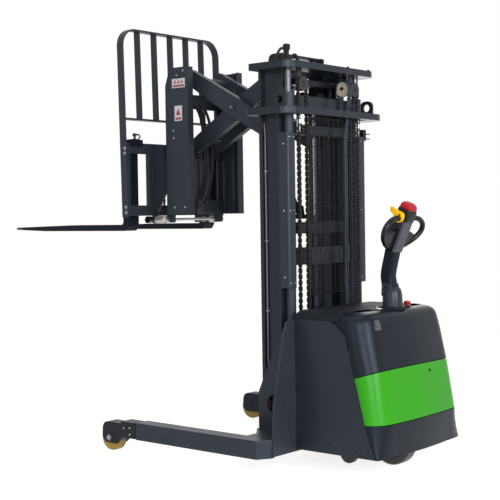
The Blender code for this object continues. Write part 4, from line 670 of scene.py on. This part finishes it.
BOOT_X = -0.345         # axis of the tiller's boot
STOP_PLACE = (-0.354, -0.124)
KEY_PLACE = (-0.310, 0.095)
LATCH_PLACE = (-0.4275, 0.270, 0.736)
GROMMET_PLACE = (-0.4985, -0.100, 0.482)
PANEL_SCREWS = ((-0.040, 0.150), (-0.040, 0.420), (-0.040, 0.690), (-0.400, 0.150),
                (-0.215, 0.150), (-0.345, 0.520))


def hood_details():
    top = high("deck_lid").z
    trim = Shape()
    trim.prism(rounded(rectangle(-0.366, -0.078, -0.292, 0.160), 0.02), "Z",
               top - 0.002, top + 0.002)
    trim.turned([(0, 0.066), (0.006, 0.066), (0.009, 0.060), (0.009, 0.054)],
                (BOOT_X, 0, top), (0, 0, 1), 40)
    trim.done("deck_mat", "deck_paint", "chassis", angle=40)
    keys = Shape()
    keys.turned([(0, 0.013), (0.004, 0.013), (0.006, 0.010)],
                (*KEY_PLACE, top + 0.001), (0, 0, 1), 24)
    keys.turned([(0, 0.006), (0.008, 0.006), (0.009, 0.004)],
                (*KEY_PLACE, top + 0.005), (0, 0, 1), 16)
    keys.done("key_switch", "bolt_zinc", "chassis")
    gauge = Shape()
    gauge.prism(rounded(rectangle(-0.362, 0.110, -0.330, 0.152), 0.006), "Z",
                top + 0.001, top + 0.006)
    gauge.done("charge_gauge", "glossy_black", "chassis")
    stop = Shape()
    stop.turned([(0.0005, 0.013), (0.010, 0.012), (0.014, 0.0165), (0.022, 0.018),
                 (0.028, 0.0155), (0.030, 0.009), (0.030, 0)], (*STOP_PLACE, top), (0, 0, 1), 28)
    stop.done("stop_button", "red_plastic", "chassis", ["emergency_stop"])
    collar = Shape()
    collar.turned([(0, 0.020), (0.004, 0.020), (0.006, 0.018), (0.006, 0.013)],
                  (*STOP_PLACE, top), (0, 0, 1), 28)
    collar.done("stop_collar", "glossy_black", "chassis")
    latch = Shape()
    latch.prism(rounded([(-0.020, -0.026), (0.020, -0.026), (0.016, 0.024), (-0.016, 0.024)],
                        0.007), "Z", 0, 0.006)
    latch.prism(rounded([(-0.012, -0.012), (0.012, -0.012), (0.010, 0.016), (-0.010, 0.016)],
                        0.005), "Z", 0.006, 0.010)
    latch.turn(Matrix.Translation(LATCH_PLACE) @ Matrix.Rotation(radians(-108), 4, "Z")
               @ Matrix.Rotation(radians(74), 4, "X"))
    latch.done("cover_latch", "grey_plastic", "chassis")
    hole = Shape()
    hole.turned([(0, 0.006), (0.0035, 0.006), (0.0035, 0.004), (0.001, 0.0035)],
                GROMMET_PLACE, (-1, 0, 0.16), 20)
    hole.done("band_grommet", "black_plastic", "chassis")
    screws = Shape()
    for x, z in PANEL_SCREWS:
        screws.cap_screw((x, high("side_panel_left").y, z), (0, 1, 0), 0.0055)
    screws.mirror()
    screws.done("panel_screws", "black_oxide", "chassis")


# Tiller

HEAD_FOOT = (-0.349, 0.0, 1.095)
HEAD_LEAN = 24.0
PIVOT_X, PIVOT_Z = -0.330, 0.905
BOOT_Z = 0.79

# x and z of the arm's middle line
ARM_PATH = ((-0.330, 0.892), (-0.326, 0.925), (-0.3215, 0.965), (-0.331, 1.015), (-0.343, 1.060),
            (-0.351, 1.096))

# The head's own frame has its foot at the top of the arm and z along the head.
MOULDING_LOWER = (
    # z, rear x, front x, half width
    (0.001, -0.0157, 0.026, 0.026), (0.010, -0.0157, 0.036, 0.034),
    (0.040, -0.0157, 0.052, 0.038), (0.100, -0.0157, 0.060, 0.039),
    (0.140, -0.0157, 0.056, 0.039), (0.166, -0.0157, 0.036, 0.038))
MOULDING_UPPER = (
    (0.166, -0.040, 0.034, 0.037), (0.172, -0.0405, 0.034, 0.0385),
    (0.215, -0.040, 0.034, 0.0385), (0.226, -0.036, 0.034, 0.036))
BUTTON = (
    (0.2263, -0.037, 0.032, 0.032), (0.236, -0.038, 0.033, 0.034), (0.247, -0.033, 0.031, 0.032),
    (0.256, -0.020, 0.026, 0.026), (0.259, -0.006, 0.016, 0.014))
# y, z and x along the left hand loop, y and z round its web
LOOP = ((0.026, 0.166, 0.000), (0.074, 0.177, -0.006), (0.126, 0.171, -0.014),
        (0.164, 0.145, -0.020), (0.170, 0.106, -0.020), (0.140, 0.064, -0.014),
        (0.084, 0.028, -0.006), (0.026, 0.006, 0.000))
LOOP_X = 0.0008
WEB = [(0.030, 0.006), (0.082, 0.030), (0.126, 0.060), (0.136, 0.084), (0.092, 0.100),
       (0.030, 0.122)]
# x and z round a thumb knob, and the point its raised face shrinks towards
KNOB = ((0.062, 0.212), (0.024, 0.208), (-0.010, 0.206), (-0.022, 0.188), (-0.020, 0.164),
        (-0.004, 0.152), (0.018, 0.156), (0.034, 0.176), (0.062, 0.192))
KNOB_X, KNOB_Z = 0.006, 0.186
KNOB_ROD_Z = 0.190
# z and radius up the boot
BOOT = ((0.7903, 0.052), (0.800, 0.052), (0.830, 0.0515), (0.860, 0.0500), (0.882, 0.0465),
        (0.897, 0.041), (0.906, 0.032))


def on_head():
    return Matrix.Translation(HEAD_FOOT) @ Matrix.Rotation(-radians(HEAD_LEAN), 4, "Y")


def upright_loft(shape, rows, corner, steps=4):
    """Closed body through level rounded rectangles."""
    shape.loft([
        [(x, y, z) for x, y in rounded(rectangle(rear, -half, front, half), corner, steps)]
        for z, rear, front, half in rows])


def tiller():
    arm = Shape()
    path = smoothed([Vector((x, 0, z)) for x, z in ARM_PATH], 5)
    section = rounded(rectangle(-0.0330, -0.0305, 0.0330, 0.0305), 0.014)
    rings = []
    for here, way in zip(path, tangents(path)):
        across = Vector((0, 1, 0)).cross(way).normalized()
        rings.append([here + across * a + Vector((0, b, 0)) for a, b in section])
    arm.loft(rings)
    arm.rod((PIVOT_X, -0.0395, PIVOT_Z), (PIVOT_X, 0.0395, PIVOT_Z), 0.008)
    for side in (1, -1):
        arm.cap_screw((PIVOT_X, side * 0.0390, PIVOT_Z), (0, side, 0), 0.007)
    arm.done("tiller_tube", "fork_paint", "tiller", ["tiller_arm"])
    spine = Shape()
    spine.prism(rounded(rectangle(-0.036, -0.0357, -0.0163, 0.0357), 0.004, 2), "Z",
                0.001, 0.1655)
    spine.turn(on_head())
    spine.done("tiller_spine", "grey_plastic", "tiller", ["tiller_head"])
    body = Shape()
    upright_loft(body, MOULDING_LOWER, 0.012)
    upright_loft(body, MOULDING_UPPER, 0.010)
    for side in (1, -1):
        body.tube([(LOOP_X + x, side * y, z) for y, z, x in LOOP], 0.0138, 14)
        body.prism([(side * y, z) for y, z in WEB], "X", LOOP_X - 0.017, LOOP_X + 0.002)
    body.turn(on_head())
    body.done("tiller_moulding", "black_plastic", "tiller", ["tiller_grips"])
    knobs = Shape()
    knobs.rod((0, -0.055, KNOB_ROD_Z), (0, 0.055, KNOB_ROD_Z), 0.007, 16)
    outline = [(p.x, p.y) for p in smoothed([Vector((x, z, 0)) for x, z in KNOB], 4, closed=True)]
    face = [(KNOB_X + (x - KNOB_X) * 0.8, KNOB_Z + (z - KNOB_Z) * 0.8) for x, z in outline]
    for side in (1, -1):
        knobs.prism(outline, "Y", side * 0.039, side * 0.053)
        knobs.prism(face, "Y", side * 0.053, side * 0.055)
    knobs.turn(on_head())
    knobs.done("thumb_butterfly", "yellow_plastic", "tiller", ["tiller_knobs"], 50)
    button = Shape()
    upright_loft(button, BUTTON, 0.014, 5)
    button.turn(on_head())
    button.done("safety_button", "red_plastic", "tiller", ["belly_button"], 60)
    boot = Shape()
    boot.turned([(z - BOOT_Z, r) for z, r in BOOT], (BOOT_X, 0, BOOT_Z), (0, 0, 1), 40)
    ear = rounded([(-0.374, 0.858), (-0.302, 0.858), (-0.308, 0.927), (-0.352, 0.927)], 0.014, 5)
    for side in (1, -1):
        boot.prism(ear, "Y", side * 0.0312, side * 0.0405)
    boot.done("tiller_boot", "boot_plastic", "steered_drive", ["tiller_base"])


# Mast

SHEAVE_Z = 1.950        # axis of the chain and hose wheels of the middle mast
HOSE_Y = -0.139         # middle of the two hoses over the mast


def grooved_wheel(shape, centre, way, radius, width, sides=36):
    """Chain wheel with two flanges, a hub and a bearing recess."""
    flange = width * 0.16
    half = [(0, 0.006), (0, radius * 0.42), (flange * 0.6, radius * 0.46), (0, radius * 0.55),
            (0, radius), (flange, radius), (flange, radius * 0.87)]
    profile = half + [(width - height, r) for height, r in reversed(half)]
    way = Vector(way)
    shape.turned(profile, Vector(centre) - way * (width / 2), way, sides)


def mast_chains():
    x, z = 0.041, SHEAVE_Z
    plate_top = low("mast_middle").z + 1.8625
    for side, word in ((1, "left"), (-1, "right")):
        y = side * 0.229
        wheel = Shape()
        grooved_wheel(wheel, (x, y, z), (1, 0, 0), 0.039, 0.024)
        wheel.rod((x - 0.016, y, z), (x + 0.036, y, z), 0.012, 20, 0.002)
        wheel.block((x + 0.014, y - 0.018, z - 0.02), (x + 0.026, y + 0.018, plate_top))
        wheel.bolt((x - 0.0155, y, z), (-1, 0, 0), 0.012)
        wheel.done("lift_sheave_" + word, "cast_iron", "middle_mast", angle=32)
        chain = Shape()
        for step in (0.034, -0.034):
            leaf_chain(chain, x, y + step, 0.2400, z, 0.022, "X")
        chain.done("leaf_chain_" + word, "chain_steel", "middle_mast", ["lift_chain_" + word], 30)
    pulley = Shape()
    x, y = 0.044, HOSE_Y
    grooved_wheel(pulley, (x, y, z), (0, 1, 0), 0.0425, 0.020, 40)
    pulley.done("hose_wheel", "cream_plastic", "middle_mast", ["hose_pulley"], 32)
    arm = Shape()
    arm.block((x - 0.014, y - 0.018, z - 0.02), (x + 0.014, y - 0.012, 2.0227))
    arm.rod((x, y - 0.013, z), (x, y + 0.012, z), 0.007, 16)
    arm.bolt((x, y + 0.0105, z), (0, 1, 0), 0.012)
    arm.done("hose_wheel_hanger", "black_paint", "middle_mast")


def free_lift():
    x, z = 0.146, 1.885
    head = Shape()
    head.prism(rounded(rectangle(-0.105, z - 0.035, 0.105, z - 0.008), 0.005, 2),
               "X", x - 0.036, x + 0.036)
    head.rod((x, -0.105, z), (x, 0.105, z), 0.012, 20, 0.002)
    ear = rounded(rectangle(x - 0.014, z - 0.02, x + 0.014, z + 0.014), 0.008, 3)
    for y in (-0.099, -0.050, 0.050, 0.099):
        head.prism(ear, "Y", y - 0.006, y + 0.006)
    for y in (-0.075, 0.075):
        grooved_wheel(head, (x, y, z), (0, 1, 0), 0.040, 0.022)
        leaf_chain(head, x - 0.035, y, 1.2403, z, 0.022, "Y")
        leaf_chain(head, x + 0.035, y, 1.2793, z, 0.022, "Y")
    head.done("free_lift_crosshead", "chain_steel", "free_lift", ["free_lift_head"], 30)
    hose = Shape()
    hose.tube([(0.146, 0.034, 0.235), (0.130, 0.066, 0.240), (0.126, 0.072, 0.300),
               (0.126, 0.070, 0.700), (0.127, 0.066, 1.150), (0.130, 0.056, 1.215)], 0.0075)
    hose.done("free_lift_hose", "rubber", "inner_mast")


GUARD_BAR = 0.0030      # radius of the guard's border bars
GUARD_ROWS = 82
GUARD_COLUMNS = 7


def guard_mesh():
    box_low, box_high = low("mast_guard"), high("mast_guard")
    x = (box_low.x + box_high.x) / 2 + X_MIDDLE
    z0, z1 = box_low.z, box_high.z
    half = box_high.y
    mesh = Shape()
    for y in (-half + GUARD_BAR, half - GUARD_BAR):
        mesh.rod((x, y, z0), (x, y, z1), GUARD_BAR, 8)
    for z in (z0 + GUARD_BAR, z1 - GUARD_BAR, (z0 + z1) / 2):
        mesh.rod((x, -half, z), (x, half, z), GUARD_BAR, 8)
    for k in range(1, GUARD_ROWS):
        z = z0 + (z1 - z0) * k / GUARD_ROWS
        mesh.rod((x - 0.0008, -half, z), (x - 0.0008, half, z), 0.0018, 5)
    for k in range(1, GUARD_COLUMNS):
        y = -half + 2 * half * k / GUARD_COLUMNS
        mesh.rod((x + 0.0010, y, z0), (x + 0.0010, y, z1), 0.0012, 5)
    for z in (z0 + 0.03, (z0 + z1) / 2, z1 - 0.03):
        for side in (1, -1):
            mesh.bolt((x - 0.002, side * (half - 0.006), z), (-1, 0, 0), 0.011)
    mesh.done("guard_screen", "black_oxide", "chassis", ["mast_guard"], 30)


def mast_details():
    back = low("cylinder_cover_left").x + X_MIDDLE
    covers = Shape()
    for y in (0.300, 0.331):
        for z in (0.930, 1.300, 1.675):
            covers.cap_screw((back, y, z), (-1, 0, 0), 0.0055)
    for z in (0.960, 1.300, 1.640):
        covers.cap_screw((0.078, high("cylinder_cover_left").y, z), (0, 1, 0), 0.0055)
    covers.mirror()
    covers.done("cover_screws", "bolt_zinc", "chassis")
    ribs = Shape()
    ribs.prism(rectangle(0.296, 0.905, 0.3155, 1.700), "X", back - 0.0016, back + 0.001)
    ribs.mirror()
    ribs.done("cover_ribs", "frame_paint", "chassis")
    cable = Shape()
    cable.tube([(0.196, 0.312, 0.165), (0.200, 0.330, 0.230), (0.203, 0.334, 0.500),
                (0.203, 0.335, 1.100), (0.204, 0.334, 1.560), (0.206, 0.331, 1.680),
                (0.214, 0.327, 1.745), (0.216, 0.320, 1.765)], 0.0032, 8, 8)
    for z in (0.42, 0.78, 1.14, 1.50):
        cable.block((0.196, 0.320, z), (0.2095, 0.3400, z + 0.010))
    cable.done("sensor_cable", "cable_grey", "chassis")
    anchors = Shape()
    for x in (0.034, 0.048):
        anchors.rod((x, 0.263, 1.700), (x, 0.263, 1.786), 0.0042, 12)
        for z in (1.745, 1.757):
            anchors.turned([(0, 0.0075), (0.008, 0.0075)], (x, 0.263, z), (0, 0, 1), 6)
    anchors.mirror()
    anchors.done("chain_anchors", "bolt_zinc", "chassis")
    arm = Shape()
    arm.block((0.058, -0.372, 1.682), (0.104, -0.3445, 1.742))
    prong = rounded([(0.066, -0.425), (0.074, -0.425), (0.086, -0.360), (0.070, -0.360)], 0.003, 2)
    for z in (1.692, 1.718):
        arm.prism(prong, "Z", z, z + 0.005)
    arm.done("hose_bracket", "black_paint", "chassis")
    lifter = Shape()
    top = high("mast_middle").z
    x, y = 0.112, 0.270
    lifter.prism(rounded(rectangle(x - 0.045, y - 0.045, x + 0.045, y + 0.045), 0.012), "Z",
                 top - 0.001, top + 0.010)
    lifter.turned([(0, 0.022), (0.026, 0.022), (0.030, 0.016), (0.060, 0.016), (0.062, 0.021),
                   (0.084, 0.021), (0.090, 0.016)], (x, y, top + 0.008), (-0.04, -0.04, 1), 6)
    for radius, path in (
            (0.0070, ((0.000, 0.000, 0.070), (0.016, 0.020, 0.074), (0.032, 0.034, 0.040),
                      (0.044, 0.044, 0.006))),
            (0.0070, ((-0.020, -0.010, 0.006), (-0.026, -0.020, 0.036), (-0.040, -0.034, 0.040),
                      (-0.052, -0.044, 0.004))),
            (0.0060, ((-0.004, -0.022, 0.006), (-0.010, -0.034, 0.028), (-0.028, -0.048, 0.030),
                      (-0.040, -0.056, 0.004)))):
        lifter.tube([(x + a, y + b, top + c) for a, b, c in path], radius)
    lifter.done("top_hose_fittings", "rubber", "middle_mast")
    hoses = Shape()
    for y in (HOSE_Y - 0.0065, HOSE_Y + 0.0065):
        off = y + 0.036
        hoses.tube([(0.0075, off, 0.420), (0.0075, off, 0.900), (0.0072, off, 1.500),
                    (0.0068, off, 1.680), (0.0060, y + 0.020, 1.800), (0.0042, y + 0.004, 1.900),
                    (0.0035, y, 1.950), (0.0160, y, 1.9790), (0.0440, y, 1.9890),
                    (0.0720, y, 1.9790), (0.0825, y, 1.950), (0.0820, y, 1.900)], 0.0060, 8, 4)
    hoses.done("mast_hoses", "hose_blue_black", "middle_mast")
    bolts = Shape()
    for y in (0.150, 0.345):
        bolts.bolt((0.020, y, high("mast_middle").z), (0, 0, 1), 0.016)
    bolts.mirror()
    bolts.done("head_plate_bolts", "black_oxide", "middle_mast")


# Scissor, reach frame and forks

FRAME_SIDE_Y = 0.2350   # outer face of the reach frame's side plates
FRAME_SCREWS = ((0.870, 2.092), (0.915, 2.070), (0.948, 1.720), (0.950, 1.760), (0.870, 1.330),
                (0.948, 1.330))
LABELS = ((0.857, 2.000, 0.957, 2.052), (0.882, 1.815, 0.940, 1.900))
LABEL_BARS = ((0.863, 2.006, 0.951, 2.016), (0.888, 1.822, 0.934, 1.834))
LOOP_HOSE = [(0.978, 0.046, 1.330), (0.950, 0.047, 1.350), (0.940, 0.047, 1.410),
             (0.938, 0.047, 1.520), (0.942, 0.047, 1.620), (0.955, 0.046, 1.650),
             (0.985, 0.046, 1.652)]


def frame_hose(name, points):
    made = Shape()
    made.tube(points, 0.0085, smooth=8)
    made.done(name, "rubber", "reach_frame")


def reach_details():
    side = FRAME_SIDE_Y
    screws = Shape()
    for x, z in FRAME_SCREWS:
        screws.cap_screw((x, side, z), (0, 1, 0), 0.0065)
    screws.rod((0.924, side - 0.001, 2.070), (0.924, side + 0.0025, 2.070), 0.010, 24, 0.001)
    screws.mirror()
    screws.done("frame_screws", "bolt_zinc", "reach_frame")
    labels = Shape()
    for corners in LABELS:
        labels.prism(rounded(rectangle(*corners), 0.004, 3), "Y", side - 0.0002, side + 0.0006)
    labels.mirror()
    labels.done("blank_labels", "label_white", "reach_frame")
    marks = Shape()
    outlines = [rectangle(*corners) for corners in LABEL_BARS]
    outlines += [[(x - 0.010, 2.025), (x + 0.010, 2.025), (x, 2.044)]
                 for x in (0.880, 0.907, 0.934)]
    outlines.append([(0.893, 1.848), (0.929, 1.848), (0.911, 1.884)])
    for outline in outlines:
        marks.prism(outline, "Y", side + 0.0004, side + 0.0009)
    marks.mirror()
    marks.done("label_marks", "label_red", "reach_frame")
    for k, y in enumerate((0.020, 0.041, -0.020)):
        frame_hose("frame_hose_%d" % k, [
            (0.985, y, 1.925), (0.940, y * 1.05, 1.890), (0.905, y * 1.1, 1.800),
            (0.890, y * 1.1, 1.650), (0.895, y * 1.1, 1.520), (0.930, y * 1.05, 1.400),
            (0.975, y, 1.340)])
    frame_hose("frame_hose_loop", LOOP_HOSE)
    block = Shape()
    block.prism(rounded(rectangle(0.944, 1.292, 0.984, 1.385), 0.006, 2), "Y", 0.004, 0.054)
    for y in (0.016, 0.042):
        block.turned([(0, 0.011), (0.016, 0.011), (0.020, 0.008)], (0.963, y, 1.384), (0, 0, 1), 6)
        block.bolt((0.944, y, 1.340), (-1, 0, 0), 0.016)
    block.done("valve_block", "cast_iron", "reach_frame")
    caps = Shape()
    x, y, z = 0.5945, 0.1450, 1.875
    caps.rod((x, y - 0.001, z), (x, y + 0.003, z), 0.010, 24, 0.001)
    caps.cap_screw((x, y + 0.003, z), (0, 1, 0), 0.006)
    caps.mirror()
    caps.done("centre_pin_caps", "bolt_zinc", "arm_a")


def fork_details():
    side = high("backrest").y
    bolts = Shape()
    for x, z in ((1.165, 1.668), (1.166, 1.640), (1.164, 1.335), (1.163, 1.305)):
        bolts.bolt((x, side, z), (0, 1, 0), 0.013)
    bolts.mirror()
    bolts.done("backrest_bolts", "bolt_zinc", "fork_carriage")
    hooks = Shape()
    for y in (0.325, -0.325):
        hooks.rod((1.172, y, 1.716), (1.172, y, 1.742), 0.007, 14)
        hooks.turned([(0, 0.012), (0.010, 0.013), (0.016, 0.009)], (1.172, y, 1.740), (0, 0, 1), 18)
        hooks.block((1.156, y - 0.020, 1.7195), (1.188, y + 0.020, 1.7235))
        hooks.tube([(1.160, y - 0.020, 1.722), (1.158, y - 0.028, 1.736), (1.166, y - 0.026, 1.750),
                    (1.178, y - 0.018, 1.748)], 0.004, 8, 4)
    hooks.done("fork_latches", "black_oxide", "fork_carriage")
    lines = Shape()
    lines.tube([(1.128, 0.205, 1.285), (1.132, 0.190, 1.300), (1.142, 0.160, 1.312),
                (1.152, 0.120, 1.330), (1.160, 0.100, 1.380)], 0.006, 8)
    lines.mirror()
    lines.done("tilt_lines", "rubber", "fork_carriage")
    glands = Shape()
    glands.turned([(0, 0.0225), (0.008, 0.0235), (0.014, 0.0235), (0.016, 0.020)],
                  (1.098, 0.230, 1.262), (1, 0, 0))
    glands.mirror()
    glands.done("tilt_glands", "black_oxide", "tilt_barrels")


# Running gear

WHEEL_PLACE = (1.090, 0.599, 0.072)
TYRE = [(0.000, 0.050), (0.000, 0.066), (0.002, 0.070), (0.006, 0.072), (0.050, 0.072),
        (0.054, 0.070), (0.056, 0.066), (0.056, 0.050)]
HUB = [(0.001, 0.010), (0.001, 0.020), (0.004, 0.022), (0.010, 0.024), (0.010, 0.040),
       (0.002, 0.046), (0.001, 0.051), (0.055, 0.051), (0.054, 0.046), (0.046, 0.040),
       (0.046, 0.024), (0.052, 0.022), (0.055, 0.020), (0.055, 0.010)]


def load_wheel(side, word):
    x, y, z = WHEEL_PLACE
    foot = (x, side * (y - 0.028), z)
    body = "load_wheel_" + word
    tyre = Shape()
    tyre.turned(TYRE, foot, (0, side, 0), 48)
    tyre.done("load_tyre_" + word, "polyurethane", body, [body], 32)
    hub = Shape()
    hub.turned(HUB, foot, (0, side, 0), 40)
    hub.done("load_hub_" + word, "zinc", body, angle=32)


def running_gear():
    load_wheel(1, "left")
    load_wheel(-1, "right")
    outer = high("wheel_housing_left").y
    bolts = Shape()
    for x, z in ((0.930, 0.140), (0.930, 0.105), (0.975, 0.135)):
        bolts.cap_screw((x, outer - 0.003, z), (0, 1, 0), 0.006)
    bolts.bolt((WHEEL_PLACE[0], outer - 0.001, WHEEL_PLACE[2]), (0, 1, 0), 0.020)
    bolts.mirror()
    bolts.done("housing_bolts", "bolt_zinc", "chassis")


# Camera, lights and floor

def camera():
    yaw, pitch, roll = (radians(a) for a in (CAMERA_YAW, CAMERA_PITCH, CAMERA_ROLL))
    ahead = Vector((cos(yaw), -sin(yaw), 0))
    right = Vector((-sin(yaw), -cos(yaw), 0))
    up = Vector((0, 0, 1))
    look = ahead * cos(pitch) - up * sin(pitch)
    raised = up * cos(pitch) + ahead * sin(pitch)
    side = right * cos(roll) - raised * sin(roll)
    crown = raised * cos(roll) + right * sin(roll)
    data = bpy.data.cameras.new("camera")
    data.lens = CAMERA_LENS
    data.sensor_width = 36.0
    obj = add_object("camera", data)
    turn = Matrix((side, crown, -look)).transposed().to_4x4()
    place = Vector(CAMERA_PLACE) - Vector((X_MIDDLE, 0, 0))
    obj.matrix_world = Matrix.Translation(place) @ turn
    bpy.context.scene.camera = obj


LIGHTS = (
    # name, place, target, size, watts
    ("overhead", (-0.6, 0.8, 5.0), (0, 0, 0.8), (4.0, 4.0), 50),
    ("left_side", (-1.3, 5.4, 2.0), (0, 0, 1.0), (1.2, 3.2), 40),
    ("behind_camera", (-5.2, 4.4, 2.2), (-0.8, 0.3, 0.7), (2.6, 2.6), 200),
    ("rear_left", (-5.8, 1.0, 2.2), (-0.8, 0.2, 0.7), (1.6, 2.6), 190),
    ("right_side", (1.6, -4.6, 2.4), (0, 0, 1.0), (1.6, 3.0), 20),
)
SKY_STRENGTH = 0.30
FLOOR_GLOW = 0.82


def area_light(name, place, target, size, watts):
    data = bpy.data.lights.new(name, "AREA")
    data.shape = "RECTANGLE"
    data.size, data.size_y = size
    data.energy = watts
    obj = add_object(name, data)
    way = Vector(target) - Vector(place)
    turn = way.to_track_quat("-Z", "Y").to_matrix().to_4x4()
    obj.matrix_world = Matrix.Translation(place) @ turn


def either(tree, first, first_name, second, second_name):
    """1 where either of two 0 or 1 outputs is 1."""
    made = tree.nodes.new("ShaderNodeMath")
    made.operation = "MAXIMUM"
    link(tree, first, first_name, made, 0)
    link(tree, second, second_name, made, 1)
    return made


def pale_seen(tree, shown, own):
    """Shows pure white to the camera and in mirrors and glass, its own light to all else."""
    path = tree.nodes.new("ShaderNodeLightPath")
    seen = either(tree, path, "Is Camera Ray", path, "Is Glossy Ray")
    clear = either(tree, seen, "Value", path, "Is Transmission Ray")
    mix = tree.nodes.new("ShaderNodeMixShader")
    link(tree, clear, "Value", mix, "Fac")
    tree.links.new(own, mix.inputs[1])
    tree.links.new(shown, mix.inputs[2])
    return mix.outputs[0]


def world():
    made = bpy.data.worlds.new("studio")
    made.use_nodes = True
    bpy.context.scene.world = made
    tree = made.node_tree
    ground = tree.nodes["Background"]
    put(ground, Color=(0.90, 0.94, 1.0, 1.0), Strength=SKY_STRENGTH)
    white = tree.nodes.new("ShaderNodeBackground")
    put(white, Color=(1, 1, 1, 1), Strength=1.0)
    surface = pale_seen(tree, white.outputs[0], ground.outputs[0])
    tree.links.new(surface, tree.nodes["World Output"].inputs["Surface"])


def floor():
    bm = bmesh.new()
    bmesh.ops.create_circle(bm, cap_ends=True, segments=96, radius=6.0)
    mesh = bpy.data.meshes.new("floor")
    bm.to_mesh(mesh)
    bm.free()
    obj = add_object("floor", mesh)
    obj.location.z = -0.0005
    made, tree, shader = new_material("floor")
    grain = noise(tree, 2.0, 2.0)
    tone = ramp(tree, grain, "Fac", [(0.3, (0.49, 0.49, 0.49)), (0.7, (0.51, 0.51, 0.51))])
    link(tree, tone, "Color", shader, "Base Color")
    put(shader, Roughness=0.95, Specular_IOR_Level=0.1)
    glow = tree.nodes.new("ShaderNodeEmission")
    put(glow, Color=(1, 1, 1, 1), Strength=FLOOR_GLOW)
    both = tree.nodes.new("ShaderNodeAddShader")
    tree.links.new(shader.outputs[0], both.inputs[0])
    tree.links.new(glow.outputs[0], both.inputs[1])
    output = tree.nodes["Material Output"]
    tree.links.new(pale_seen(tree, both.outputs[0], shader.outputs[0]), output.inputs["Surface"])
    obj.data.materials.append(made)


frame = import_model()
X_MIDDLE = -low("cross_member").x
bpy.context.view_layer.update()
finishes = make_materials()
dress(frame["nodes"], frame["record"], finishes)
hood()
hood_details()
tiller()
mast_chains()
free_lift()
guard_mesh()
mast_details()
reach_details()
fork_details()
running_gear()
camera()
for light in LIGHTS:
    area_light(*light)
world()
floor()
bpy.context.scene.view_settings.view_transform = "Standard"
